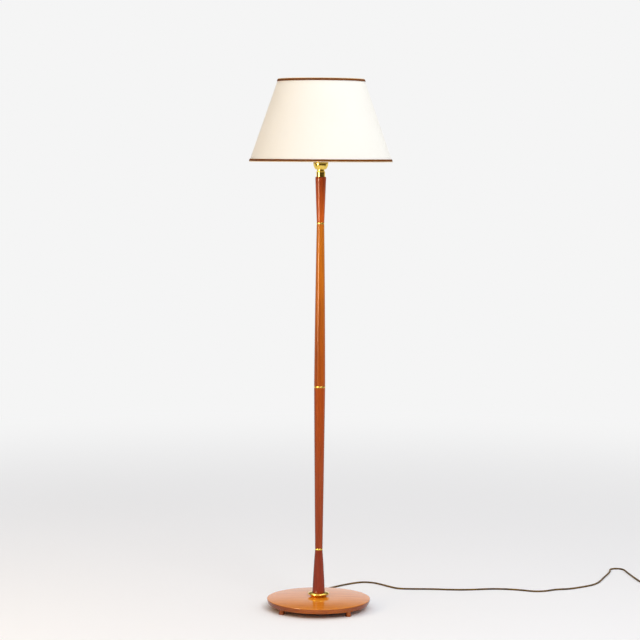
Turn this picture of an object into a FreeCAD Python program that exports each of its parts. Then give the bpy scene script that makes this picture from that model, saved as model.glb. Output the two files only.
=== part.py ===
import FreeCAD, Part
import math
import os

# Candlestick floor lamp: four turned stem sections with brass rings between them, on a weighted
# round base with four feet, under a conical shade that is clamped on a threaded lampholder.
# Millimetres. +Z is up and the origin is on the floor under the middle of the base.
# The front is -Y, and the lead leaves at the back, +Y.

V = FreeCAD.Vector
up = V(0, 0, 1)

# ---- base ----
foot_height = 14.0
foot_bottom_d = 17.6
foot_waist_d = 16.0
foot_top_d = 16.8
foot_waist_height = 7.0
foot_inset = 9.0                    # middle of each foot, in from the base's lower edge
foot_bottom_round = 0.8
foot_count = 4
first_foot_angle = -51.0            # front right foot, from +X
tenon_d = 8.0
tenon_length = 8.7
base_d = 294.0                      # at the upper edge
base_bottom_d = 284.0
base_side_height = 15.0
base_side_belly = 0.9               # how far the side bulges between its two edges
base_dome_rise = 5.5
base_dome_fullness = 0.78           # share of its rise that the dome has half way in
base_arris_round = 1.5
base_bottom_round = 1.0
base_seat_d = 44.0                  # flat on top of the dome, under the flange
base_web = 9.5                      # wood left over the weight at the middle
weight_d = 200.0
weight_thickness = 10.0
weight_hole_d = 36.0
weight_round = 1.5
weight_screw_count = 3
weight_screw_circle_r = 70.0
weight_screw_d = 4.0
weight_screw_head_d = 8.0
weight_screw_bite = 4.0             # length of screw in the wood over the weight

# ---- flange and stem ----
flange_height = 13.0
flange_d = 60.6
flange_widest_below_top = 5.0
flange_rim = 1.2                    # how far the rounded rim stands out
flange_rim_height = 4.4
flange_foot_inset = 0.5             # underside, in from the edge of the flat on the dome
flange_cove_out = 2.5
flange_cove_height = 3.2
flange_top_swell = 0.5
flange_top_drop = 1.0
flange_stem_gap = 0.3
stem_foot_length = 120.5
stem_foot_bottom_d = 37.0
stem_foot_flare = 3.5               # height of the small flare at the very bottom
stem_foot_waist_d = 34.6
stem_foot_bead_inset = 0.9
stem_foot_bead_height = 1.2
stem_foot_middle_d = 29.0
narrow_d = 21.2                     # stem at the lower and upper rings
ring_height = 4.5
ring_proud = 0.5                    # rings stand this much out of the wood
lower_length = 460.0
lower_middle_d = 26.7
middle_d = 31.4                     # stem at the middle ring
upper_length = 457.5
upper_middle_d = 27.6
top_length = 128.0
top_middle_d = 25.9
top_d = 30.4
top_shoulder = 4.0
spigot_length = 2.0
narrow_spigot_d = 15.5
middle_spigot_d = 20.0

# ---- threaded tube ----
tube_d = 10.0
tube_bore_d = 7.2
tube_in_holder = 6.0                # how far it reaches into the lampholder cap
flex_over_tube = 1.0                # where the lead's sheath ends, over the tube
tube_below_nut = 1.0
coupler_d = 14.0
coupler_length = 30.0
coupler_end_gap = 1.0
nut_across_flats = 14.0
nut_height = 4.0
washer_d = 26.0
washer_thickness = 1.5

# ---- collar, neck and lampholder ----
collar_height = 15.0
collar_d = 25.0
collar_shoulder = 2.5
neck_height = 5.5
neck_d = 20.8
neck_bead_d = 22.6
neck_bead_height = 1.6
cap_bottom_d = 31.6
cap_d = 42.0
cap_bell_height = 18.5
cap_height = 33.0
cap_wall = 1.0
cap_foot_inset = 1.4
cap_foot_height = 1.6
cap_foot_round = 0.5
cap_swell = 1.1                     # how far the bell bulges from a straight cone
cap_swell_share = 0.42              # where it bulges most, up the bell
shell_d = 39.4
shell_wall = 1.0
shell_in_cap = 8.0
shell_above_cap = 21.0
core_d = 34.4
core_bottom = 12.0                  # above the bottom of the cap
core_height = 15.0
core_recess_depth = 3.0
sleeve_bore_d = 26.7
sleeve_wall = 0.5
sleeve_height = 23.5
sleeve_hole_d = 12.0
insulator_d = 36.6
insulator_height = 25.0
contact_d = 7.2
contact_rise = 1.0                  # over the core
contact_depth = 3.0
contact_round = 0.5
terminal_screw_d = 3.0
terminal_head_d = 5.0
terminal_head_height = 1.6
terminal_screw_length = 5.0
terminal_spacing = 15.0
terminal_offset = 3.0               # in front of the lamp's axis
core_wire_d = 1.6
switch_height = 20.0                # above the bottom of the cap
spindle_d = 4.0
spindle_start = 4.0
knob_d = 9.5
knob_length = 14.0
knob_gap = 1.0                      # between the cap and the knob
knob_wall = 2.5                     # at the knob's closed end
knob_round = 1.2
knob_rib_start = 1.5
knob_rib_count = 12
knob_rib_d = 1.2

# ---- shade carrier ----
shade_seat_height = 40.5            # underside of the fitter, above the bottom of the cap
clamp_ring_d = 55.0
clamp_ring_height = 5.0
clamp_notch_count = 12
clamp_notch_d = 5.0
clamp_notch_out = 1.4               # middle of each notch, outside the ring's edge
fitter_d = 66.0
fitter_hole_d = 40.6
fitter_thickness = 1.5
spoke_count = 3
spoke_d = 4.0
spoke_foot_r = 29.0                 # inner end of each spoke, on the fitter
spoke_bend = 12.0
spoke_flat = 2.0                    # straight past the fitter's edge before the bend
wire_d = 3.2

# ---- shade ----
shade_height = 231.4
shade_bottom_d = 401.6
shade_top_d = 245.4
fitter_above_rim = 19.4
cover_thickness = 1.2
trim_thickness = 1.4
trim_width = 4.8
trim_inner_width = 2.4
piping_d = 2.4

# ---- bulb ----
bulb_cap_d = 26.0
bulb_cap_length = 23.0
bulb_cap_wall = 0.4
bulb_cap_chamfer = 1.5
bulb_insulator_height = 4.0
bulb_button_d = 8.0
bulb_button_height = 1.0
bulb_length = 105.0
bulb_d = 60.0
bulb_glass_wall = 0.8
bulb_glass_in_cap = 16.0
mount_length = 38.0
mount_d = 7.0
mount_disc = 1.0
mount_flare = 1.5
mount_flare_start = 3.0
mount_flare_length = 5.0
filament_d = 1.0
filament_span = 24.0
filament_leg = 9.0
filament_root = 2.0

# ---- lead ----
lead_d = 5.0
relief_d = 9.5
relief_tip_d = 6.6
relief_inset = 33.0                 # start of the sleeve, in from the base's edge
relief_length = 36.0
relief_grip = 16.0                  # straight part that the cleat holds
cleat_width = 10.0
cleat_thickness = 1.2
cleat_ear = 9.0
cleat_screw_d = 3.0
cleat_screw_head_d = 5.6
cleat_screw_head = 2.0
cleat_screw_length = 8.0
inner_bend = 9.0
run_share = 0.45                    # share of the shorter run that each bend of the lead takes
coil_turn_r = 32.5                  # outermost turn, at the middle of the lead
coil_turns_across = 3
coil_layers = 2
coil_round = 2.2
coil_lead_in = 22.0
coil_lead_out = 36.0
plug_width = 35.3
plug_rear_width = 15.0
plug_thickness = 13.7
plug_body_length = 22.0
plug_face_length = 4.0
plug_relief_length = 15.0
plug_relief_tip_d = 6.6
plug_relief_root_d = 9.6
plug_round = 1.8
pin_d = 4.0
pin_length = 19.0
pin_chamfer = 0.6
pin_spacing = 18.6
pin_root_d = 3.2
pin_root_length = 8.0

# ---- clearances ----
thread_gap = 0.1                    # radial, where a thread is drawn plain
bore_gap = 0.4                      # radial, tube in the wood
slip_gap = 0.1                      # radial, spigots, tenons and screws
weight_gap = 0.75                   # radial, weight in its recess
running_gap = 0.05                  # radial, spindle
edge_gap = 0.1                      # round the shade's edges
recess_gap = 0.4                    # terminal heads in the core's recess
spindle_end_gap = 1.0               # hole in the core, past the spindle's end
turning_gap = 0.35                  # between pieces that turn past each other
flex_gap = 0.15                     # radial, flex in the sleeve

# ---- places in from the base's edges ----
foot_circle_r = base_bottom_d / 2 - foot_inset
relief_start = base_d / 2 - relief_inset

# ---- levels, from the floor up ----
z_base = foot_height
z_arris = z_base + base_side_height
z_dome = z_arris + base_dome_rise
z_web = z_dome - base_web
z_weight = z_web - weight_thickness
z_stem = z_dome + flange_height
z_ring_lower = z_stem + stem_foot_length
z_lower = z_ring_lower + ring_height
z_ring_middle = z_lower + lower_length
z_upper = z_ring_middle + ring_height
z_ring_upper = z_upper + upper_length
z_top = z_ring_upper + ring_height
z_collar = z_top + top_length
z_neck = z_collar + collar_height
z_cap = z_neck + neck_height
z_core = z_cap + core_bottom
z_core_top = z_core + core_height
z_fitter = z_cap + shade_seat_height
z_rim = z_fitter - fitter_above_rim
z_contact = z_core_top + contact_rise
z_flex_top = z_cap + tube_in_holder + flex_over_tube
z_shell_top = z_cap + cap_height + shell_above_cap
z_tube_bottom = z_web - washer_thickness - nut_height - tube_below_nut
z_tube_joint = z_ring_middle + ring_height / 2
z_tube_top = z_cap + tube_in_holder
z_lead_exit = z_base - relief_d / 2

# The lead's route along the floor behind the lamp, from the tapered sleeve to the coil.
exit_point = (0.0, relief_start + relief_length, z_lead_exit)
z_floor_lead = lead_d / 2
route_to_floor = [(0.0, 172.0, z_lead_exit), (2.0, 198.0, 5.2)]
route_on_floor = [
    (10.0, 226.0), (26.0, 252.0), (48.0, 276.0), (72.0, 301.0), (100.0, 327.0), (132.0, 348.0),
    (164.0, 340.0), (188.0, 315.0), (212.0, 283.0), (236.0, 256.0), (276.0, 252.0),
    (334.0, 253.0), (396.0, 244.0), (452.0, 245.0), (506.0, 259.0), (556.0, 258.0),
    (600.0, 246.0), (636.0, 226.0), (672.0, 230.0), (706.0, 257.0), (746.0, 262.0),
    (786.0, 290.0), (826.0, 322.0), (850.0, 364.0), (870.0, 424.0), (887.0, 480.0),
    (900.0, 531.0), (908.0, 555.0), (918.5, 564.5), (932.0, 567.0), (945.0, 562.5),
    (954.0, 551.5), (958.0, 527.0), (963.0, 478.0), (968.0, 424.0), (976.0, 372.0),
    (990.0, 330.0), (1012.0, 302.0),
]
route_end = (1012.0, 272.0)


def shape_of(outline):
    """Edges of an outline in (r, z): a step of one point is a line, of two an arc through the
    first, and of more a smooth curve."""
    here = V(outline[0][0], 0, outline[0][1])
    first = here
    edges = []
    for step in outline[1:]:
        points = [V(r, 0, z) for r, z in step]
        if len(points) == 1:
            edges.append(Part.LineSegment(here, points[0]).toShape())
        elif len(points) == 2:
            edges.append(Part.Arc(here, points[0], points[1]).toShape())
        else:
            curve = Part.BSplineCurve()
            curve.interpolate([here] + points)
            edges.append(curve.toShape())
        here = points[-1]
    edges.append(Part.LineSegment(here, first).toShape())
    return edges


def turned(*outline):
    """A piece turned about the lamp's axis."""
    face = Part.Face(Part.Wire(shape_of(outline)))
    return face.revolve(V(0, 0, 0), up, 360)


def disc(diameter, bottom, top, hole_d=0.0):
    solid = Part.makeCylinder(diameter / 2, top - bottom, V(0, 0, bottom))
    if hole_d:
        solid = solid.cut(Part.makeCylinder(hole_d / 2, top - bottom, V(0, 0, bottom)))
    return solid


def round_edges(solid, radius, round_r, level):
    """Rounds the circular edges of one radius at one level."""
    chosen = []
    for edge in solid.Edges:
        curve = edge.Curve
        if not isinstance(curve, Part.Circle):
            continue
        if abs(curve.Radius - radius) < 0.01 and abs(curve.Center.z - level) < 0.01:
            chosen.append(edge)
    return solid.makeFillet(round_r, chosen)


def around(solid, count, first_angle=0.0):
    """Copies of a solid spread evenly about the lamp's axis."""
    copies = []
    for index in range(count):
        copy = solid.copy()
        copy.rotate(V(0, 0, 0), up, first_angle + index * 360.0 / count)
        copies.append(copy)
    return copies


def bent_rod(points, diameter, radius=None):
    """A round rod along straight runs joined by tangent arcs. Without a radius each arc takes
    run_share of its shorter run."""
    corners = [V(*point) for point in points]
    here = corners[0]
    edges = []
    radii = []
    for before, corner, after in zip(corners, corners[1:], corners[2:]):
        back = before - corner
        onward = after - corner
        half_turn = (math.pi - back.getAngle(onward)) / 2
        if radius is None:
            cut = run_share * min(back.Length, onward.Length)
        else:
            cut = radius * math.tan(half_turn)
        bend = cut / math.tan(half_turn)
        radii.append(bend)
        back.normalize()
        onward.normalize()
        inward = back + onward
        inward.normalize()
        entry = corner + back * cut
        leave = corner + onward * cut
        middle = corner + inward * (bend / math.cos(half_turn) - bend)
        edges.append(Part.LineSegment(here, entry).toShape())
        edges.append(Part.Arc(entry, middle, leave).toShape())
        here = leave
    edges.append(Part.LineSegment(here, corners[-1]).toShape())
    path = Part.Wire(edges)
    section = Part.Circle(corners[0], corners[1] - corners[0], diameter / 2).toShape()
    rod = path.makePipeShell([Part.Wire([section])], True, False)
    plain = math.pi * diameter ** 2 / 4 * path.Length
    return rod, path.Length, radii, rod.Volume / plain


def screw(shaft_d, length, head_d, head_height, countersunk=False):
    """A plain screw standing on its head at the origin, with its shaft upwards."""
    if countersunk:
        head = Part.makeCone(head_d / 2, shaft_d / 2, head_height)
    else:
        head = Part.makeCylinder(head_d / 2, head_height)
    shaft = Part.makeCylinder(shaft_d / 2, length, V(0, 0, head_height))
    slot = Part.makeBox(head_d * 1.2, shaft_d * 0.25, head_height * 0.4,
                        V(-head_d * 0.6, -shaft_d * 0.125, 0))
    return head.fuse(shaft).removeSplitter().cut(slot)


def moved(solid, x, y, z):
    copy = solid.copy()
    copy.translate(V(x, y, z))
    return copy


def save(node, *solids):
    shape = solids[0] if len(solids) == 1 else Part.makeCompound(list(solids))
    if not shape.isValid():
        print("NOT VALID", node)
    shape.exportStep("parts/%s.step" % node)
    print("%-20s %d solid %10.1f mm3" % (node, len(shape.Solids), shape.Volume))


def on_circle(radius, angle):
    return radius * math.cos(math.radians(angle)), radius * math.sin(math.radians(angle))


def build_base():
    r_edge = base_d / 2
    r_bottom = base_bottom_d / 2
    r_recess = weight_d / 2 + weight_gap
    r_tube_hole = tube_d / 2 + bore_gap
    r_seat = base_seat_d / 2
    side_middle = ((r_edge + r_bottom) / 2 + base_side_belly, (z_base + z_arris) / 2)
    dome_middle = ((r_edge + r_seat) / 2, z_arris + base_dome_rise * base_dome_fullness)
    disc_solid = turned((r_tube_hole, z_web), [(r_recess, z_web)], [(r_recess, z_base)],
                        [(r_bottom, z_base)], [side_middle, (r_edge, z_arris)],
                        [dome_middle, (r_seat, z_dome)], [(r_tube_hole, z_dome)])
    disc_solid = round_edges(disc_solid, r_edge, base_arris_round, z_arris)
    disc_solid = round_edges(disc_solid, r_bottom, base_bottom_round, z_base)

    tenon_hole_r = tenon_d / 2 + slip_gap
    screw_hole_r = weight_screw_d / 2 + slip_gap
    for index in range(foot_count):
        x, y = on_circle(foot_circle_r, first_foot_angle + index * 360.0 / foot_count)
        hole = Part.makeCylinder(tenon_hole_r, tenon_length + slip_gap, V(x, y, z_base))
        disc_solid = disc_solid.cut(hole)
    screw_first = first_foot_angle + 180.0 / foot_count
    for index in range(weight_screw_count):
        x, y = on_circle(weight_screw_circle_r, screw_first + index * 360.0 / weight_screw_count)
        hole = Part.makeCylinder(screw_hole_r, weight_screw_bite + slip_gap, V(x, y, z_web))
        disc_solid = disc_solid.cut(hole)
    cleat_y = relief_start + relief_grip / 2
    cleat_x = relief_d / 2 + cleat_thickness + cleat_ear / 2
    for side in (-1, 1):
        hole = Part.makeCylinder(cleat_screw_d / 2 + slip_gap, cleat_screw_length + slip_gap,
                                 V(side * cleat_x, cleat_y, z_base))
        disc_solid = disc_solid.cut(hole)
    save("base_disc", disc_solid)

    foot = turned((0, 0), [(foot_bottom_d / 2, 0)],
                  [(foot_waist_d / 2, foot_waist_height), (foot_top_d / 2, foot_height)],
                  [(tenon_d / 2, foot_height)], [(tenon_d / 2, foot_height + tenon_length)],
                  [(0, foot_height + tenon_length)])
    foot = round_edges(foot, foot_bottom_d / 2, foot_bottom_round, 0)
    for index in range(foot_count):
        x, y = on_circle(foot_circle_r, first_foot_angle + index * 360.0 / foot_count)
        save("foot_%d" % (index + 1), moved(foot, x, y, 0))

    weight = disc(weight_d, z_weight, z_web, weight_hole_d)
    weight = round_edges(weight, weight_d / 2, weight_round, z_weight)
    sink = (weight_screw_head_d - weight_screw_d) / 2
    shaft = weight_thickness - sink + weight_screw_bite
    weight_screw = screw(weight_screw_d, shaft, weight_screw_head_d, sink, countersunk=True)
    weight_screws = []
    for index in range(weight_screw_count):
        x, y = on_circle(weight_screw_circle_r, screw_first + index * 360.0 / weight_screw_count)
        weight_screws.append(moved(weight_screw, x, y, z_weight))
        through = Part.makeCylinder(screw_hole_r, weight_thickness, V(x, y, z_weight))
        sunk = Part.makeCone(weight_screw_head_d / 2 + slip_gap, screw_hole_r, sink,
                             V(x, y, z_weight))
        weight = weight.cut(through).cut(sunk)
    save("base_weight", weight)
    save("weight_screws", *weight_screws)

    save("tube_washer", disc(washer_d, z_web - washer_thickness, z_web, tube_d + 2 * thread_gap))
    corner_r = nut_across_flats / 2 / math.cos(math.pi / 6)
    corners = [V(*on_circle(corner_r, 60 * index), 0) for index in range(7)]
    nut_bottom = z_web - washer_thickness - nut_height
    nut = Part.Face(Part.makePolygon(corners)).extrude(V(0, 0, nut_height))
    nut = moved(nut, 0, 0, nut_bottom)
    nut = nut.cut(disc(tube_d + 2 * thread_gap, nut_bottom, nut_bottom + nut_height))
    save("tube_nut", nut)


def build_stem():
    r_hole = tube_d / 2 + bore_gap
    r_coupler_hole = coupler_d / 2 + bore_gap
    coupler_reach = coupler_length / 2 - ring_height / 2 + coupler_end_gap
    r_narrow = narrow_d / 2
    r_middle = middle_d / 2
    r_spigot = narrow_spigot_d / 2
    r_middle_spigot = middle_spigot_d / 2

    widest = z_stem - flange_widest_below_top
    r_flange = flange_d / 2
    r_under = base_seat_d / 2
    r_seat = stem_foot_bottom_d / 2
    lip = r_flange - flange_rim
    rim_half = flange_rim_height / 2
    flange = turned((r_hole, z_dome), [(r_under - flange_foot_inset, z_dome)],
                    [(r_under + flange_cove_out, z_dome + flange_cove_height),
                     (lip, widest - rim_half)],
                    [(r_flange, widest), (lip, widest + rim_half)],
                    [((lip + r_seat) / 2 + flange_top_swell, z_stem - flange_top_drop),
                     (r_seat + flange_stem_gap, z_stem)],
                    [(r_hole, z_stem)])
    save("base_flange", flange)

    waist = z_stem + stem_foot_flare
    foot_middle = (waist + z_ring_lower) / 2
    save("stem_foot", turned(
        (r_hole, z_stem), [(r_seat, z_stem)], [(r_seat, z_stem + stem_foot_flare * 0.3)],
        [(r_seat - stem_foot_bead_inset, waist - stem_foot_bead_height),
         (stem_foot_waist_d / 2, waist)],
        [(stem_foot_middle_d / 2, foot_middle), (r_narrow, z_ring_lower)],
        [(r_spigot, z_ring_lower)], [(r_spigot, z_ring_lower + spigot_length)],
        [(r_hole, z_ring_lower + spigot_length)]))
    save("stem_lower", turned(
        (r_hole, z_lower - spigot_length), [(r_spigot, z_lower - spigot_length)],
        [(r_spigot, z_lower)], [(r_narrow, z_lower)],
        [(lower_middle_d / 2, (z_lower + z_ring_middle) / 2), (r_middle, z_ring_middle)],
        [(r_middle_spigot, z_ring_middle)], [(r_middle_spigot, z_ring_middle + spigot_length)],
        [(r_coupler_hole, z_ring_middle + spigot_length)],
        [(r_coupler_hole, z_ring_middle - coupler_reach)],
        [(r_hole, z_ring_middle - coupler_reach)]))
    save("stem_upper", turned(
        (r_coupler_hole, z_upper - spigot_length), [(r_middle_spigot, z_upper - spigot_length)],
        [(r_middle_spigot, z_upper)], [(r_middle, z_upper)],
        [(upper_middle_d / 2, (z_upper + z_ring_upper) / 2), (r_narrow, z_ring_upper)],
        [(r_spigot, z_ring_upper)], [(r_spigot, z_ring_upper + spigot_length)],
        [(r_hole, z_ring_upper + spigot_length)], [(r_hole, z_upper + coupler_reach)],
        [(r_coupler_hole, z_upper + coupler_reach)]))
    shoulder = z_collar - top_shoulder
    r_top = top_d / 2
    r_collar = collar_d / 2
    save("stem_top", turned(
        (r_hole, z_top - spigot_length), [(r_spigot, z_top - spigot_length)], [(r_spigot, z_top)],
        [(r_narrow, z_top)], [(top_middle_d / 2, (z_top + shoulder) / 2), (r_top, shoulder)],
        [(r_top - (r_top - r_collar) * 0.3, z_collar - top_shoulder * 0.3), (r_collar, z_collar)],
        [(r_hole, z_collar)]))

    for node, z, wood_d, hole_d in (("ring_lower", z_ring_lower, narrow_d, narrow_spigot_d),
                                    ("ring_middle", z_ring_middle, middle_d, middle_spigot_d),
                                    ("ring_upper", z_ring_upper, narrow_d, narrow_spigot_d)):
        r_wood = wood_d / 2
        r_hole_ring = hole_d / 2 + slip_gap
        save(node, turned((r_hole_ring, z), [(r_wood, z)],
                          [(r_wood + ring_proud, z + ring_height / 2), (r_wood, z + ring_height)],
                          [(r_hole_ring, z + ring_height)]))

    save("tube_lower", disc(tube_d, z_tube_bottom, z_tube_joint, tube_bore_d))
    save("tube_upper", disc(tube_d, z_tube_joint, z_tube_top, tube_bore_d))
    save("tube_coupler", disc(coupler_d, z_tube_joint - coupler_length / 2,
                              z_tube_joint + coupler_length / 2, tube_d + 2 * thread_gap))


def build_lampholder():
    r_tube_hole = tube_d / 2 + thread_gap
    r_collar = collar_d / 2
    r_neck = neck_d / 2
    save("collar", turned(
        (r_tube_hole, z_collar), [(r_collar, z_collar)], [(r_collar, z_neck - collar_shoulder)],
        [(r_collar - collar_shoulder * 0.25, z_neck - collar_shoulder * 0.25),
         (r_collar - collar_shoulder * 0.8, z_neck)],
        [(r_tube_hole, z_neck)]))
    r_bead = neck_bead_d / 2
    save("neck_nut", turned(
        (r_tube_hole, z_neck), [(r_neck, z_neck)],
        [(r_bead, z_neck + neck_bead_height / 2), (r_neck, z_neck + neck_bead_height)],
        [(r_neck, z_cap)], [(r_tube_hole, z_cap)]))

    r_low = cap_bottom_d / 2
    r_cap = cap_d / 2
    bell = z_cap + cap_bell_height
    mouth = z_cap + cap_height
    foot = z_cap + cap_foot_height
    belly = (r_low + r_cap) / 2 + cap_swell
    z_belly = z_cap + cap_bell_height * cap_swell_share
    outside = [[(r_low - cap_foot_inset, z_cap)],
               [(r_low - cap_foot_inset * 0.3, z_cap + cap_foot_round), (r_low, foot)],
               [(belly, z_belly), (r_cap, bell)], [(r_cap, mouth)]]
    inside = [[(r_cap - cap_wall, mouth)], [(r_cap - cap_wall, bell)],
              [(belly - cap_wall, z_belly + cap_wall * 0.3),
               (r_low - cap_wall, foot + cap_wall * 0.6)],
              [(r_low - cap_wall - cap_foot_inset, z_cap + cap_wall)],
              [(r_tube_hole, z_cap + cap_wall)]]
    cap = turned((r_tube_hole, z_cap), *(outside + inside))
    z_switch = z_cap + switch_height
    spindle_hole = Part.makeCylinder(spindle_d / 2 + running_gap, r_cap + knob_gap, V(0, 0, z_switch),
                                     V(0, 1, 0))
    cap = cap.cut(spindle_hole)
    save("holder_cap", cap)

    shell_bottom = mouth - shell_in_cap
    save("holder_shell", disc(shell_d, shell_bottom, z_shell_top, shell_d - 2 * shell_wall))

    core = disc(core_d, z_core, z_core_top)
    terminal_x = terminal_spacing / 2
    r_recess = math.hypot(terminal_x, terminal_offset) + terminal_head_d / 2 + recess_gap
    core = core.cut(disc(2 * r_recess, z_core, z_core + core_recess_depth))
    z_under = z_core + core_recess_depth
    core = core.cut(disc(contact_d + 2 * slip_gap, z_core_top - contact_depth, z_core_top))
    spindle_hole_end = V(0, spindle_start - spindle_end_gap, z_switch)
    core = core.cut(Part.makeCylinder(spindle_d / 2 + running_gap, core_d, spindle_hole_end,
                                      V(0, 1, 0)))
    terminals = []
    terminal = screw(terminal_screw_d, terminal_screw_length, terminal_head_d,
                     terminal_head_height)
    for side in (-1, 1):
        place = V(side * terminal_x, -terminal_offset, z_under)
        core = core.cut(Part.makeCylinder(terminal_screw_d / 2 + slip_gap, terminal_screw_length,
                                          place))
        terminals.append(moved(terminal, place.x, place.y, z_under - terminal_head_height))
    save("holder_core", core)
    save("terminal_screws", *terminals)

    wire_half = terminal_x - terminal_head_d / 2 - core_wire_d
    wires = []
    for side in (-1, 1):
        near = side * core_wire_d * 0.7
        rise = (z_under - z_flex_top) / 4
        points = [(near, 0, z_flex_top), (near, 0, z_flex_top + rise),
                  (side * wire_half, 0, z_under - rise), (side * wire_half, 0, z_under)]
        wires.append(bent_rod(points, core_wire_d, core_wire_d * 0.8)[0])
    save("core_wires", *wires)

    r_sleeve = sleeve_bore_d / 2
    save("holder_sleeve", turned(
        (sleeve_hole_d / 2, z_core_top), [(r_sleeve + sleeve_wall, z_core_top)],
        [(r_sleeve + sleeve_wall, z_core_top + sleeve_height)],
        [(r_sleeve, z_core_top + sleeve_height)], [(r_sleeve, z_core_top + sleeve_wall)],
        [(sleeve_hole_d / 2, z_core_top + sleeve_wall)]))
    save("insulating_ring", disc(insulator_d, z_core_top, z_core_top + insulator_height,
                                 sleeve_bore_d + 2 * sleeve_wall + 2 * slip_gap))
    contact = disc(contact_d, z_core_top - contact_depth, z_contact)
    save("centre_contact", round_edges(contact, contact_d / 2, contact_round, z_contact))

    knob_start = r_cap + knob_gap
    spindle_end = knob_start + knob_length - knob_wall
    spindle = Part.makeCylinder(spindle_d / 2, spindle_end - spindle_start, V(0, 0, 0))
    knob = Part.makeCylinder(knob_d / 2, knob_length, V(0, 0, knob_start - spindle_start))
    knob = round_edges(knob, knob_d / 2, knob_round, knob_start - spindle_start + knob_length)
    knob = knob.cut(Part.makeCylinder(spindle_d / 2 + slip_gap, spindle_end - spindle_start))
    groove_start = knob_start - spindle_start + knob_rib_start
    groove = Part.makeCylinder(knob_rib_d / 2, knob_length, V(knob_d / 2, 0, groove_start))
    for copy in around(groove, knob_rib_count):
        knob = knob.cut(copy)
    for node, solid in (("switch_spindle", spindle), ("switch_knob", knob)):
        solid.rotate(V(0, 0, 0), V(1, 0, 0), -90)
        save(node, moved(solid, 0, spindle_start, z_switch))

    clamp_hole_d = shell_d + 2 * thread_gap
    notch = Part.makeCylinder(clamp_notch_d / 2, clamp_ring_height,
                              V(clamp_ring_d / 2 + clamp_notch_out, 0, 0))
    clamp = disc(clamp_ring_d, 0, clamp_ring_height, clamp_hole_d)
    for copy in around(notch, clamp_notch_count):
        clamp = clamp.cut(copy)
    save("clamp_ring_lower", moved(clamp, 0, 0, z_fitter - clamp_ring_height))
    save("clamp_ring_upper", moved(clamp, 0, 0, z_fitter + fitter_thickness))


def build_shade():
    edge_drop = piping_d / 2 + trim_thickness + piping_d / 2
    cover_rise = shade_height - 2 * edge_drop
    r_low = shade_bottom_d / 2 - trim_thickness
    r_high = shade_top_d / 2 - trim_thickness
    lean = math.atan2(r_low - r_high, cover_rise)
    slant = cover_rise / math.cos(lean)
    z_low = z_rim + edge_drop

    def on_cone(s, n):
        """A point s up the slope from the cover's lower outer edge, and n outwards."""
        return (r_low - s * math.sin(lean) + n * math.cos(lean),
                z_low + s * math.cos(lean) + n * math.sin(lean))

    def banded(points):
        corners = [on_cone(s, n) for s, n in points]
        return turned(corners[0], *[[corner] for corner in corners[1:]])

    save("shade_cover", banded([(0, 0), (slant, 0), (slant, -cover_thickness),
                                (0, -cover_thickness)]))
    inner = cover_thickness + wire_d + 2 * edge_gap
    outer = trim_thickness + edge_gap
    under = -trim_thickness
    for node, flip in (("trim_bottom", False), ("trim_top", True)):
        points = [(under, outer), (trim_width, outer), (trim_width, edge_gap),
                  (-edge_gap, edge_gap), (-edge_gap, -inner), (trim_inner_width, -inner),
                  (trim_inner_width, -inner - trim_thickness), (under, -inner - trim_thickness)]
        if flip:
            points = [(slant - s, n) for s, n in points]
        save(node, banded(points))
    wire_s = wire_d / 2 + edge_gap
    wire_n = -cover_thickness - wire_d / 2 - edge_gap
    piping_s = under - piping_d / 2
    for name, s, n, width in (("wire_bottom", wire_s, wire_n, wire_d),
                              ("wire_top", slant - wire_s, wire_n, wire_d),
                              ("piping_bottom", piping_s, 0.0, piping_d),
                              ("piping_top", slant - piping_s, 0.0, piping_d)):
        r, z = on_cone(s, n)
        save(name, Part.makeTorus(r, width / 2, V(0, 0, z)))

    fitter = disc(fitter_d, z_fitter, z_fitter + fitter_thickness, fitter_hole_d)
    save("shade_fitter", fitter)
    z_on_fitter = z_fitter + fitter_thickness + spoke_d / 2
    spoke_s = 2 * wire_s + spoke_d / 2 + 2 * edge_gap
    r_end, z_end = on_cone(spoke_s, -cover_thickness - turning_gap - spoke_d * math.tan(lean) / 2)
    r_corner = fitter_d / 2 + spoke_flat
    spoke = bent_rod([(spoke_foot_r, 0, z_on_fitter), (r_corner, 0, z_on_fitter),
                      (r_end, 0, z_end)], spoke_d, spoke_bend)[0]
    for index, copy in enumerate(around(spoke, spoke_count, 90.0)):
        save("shade_spoke_%d" % (index + 1), copy)


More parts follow.
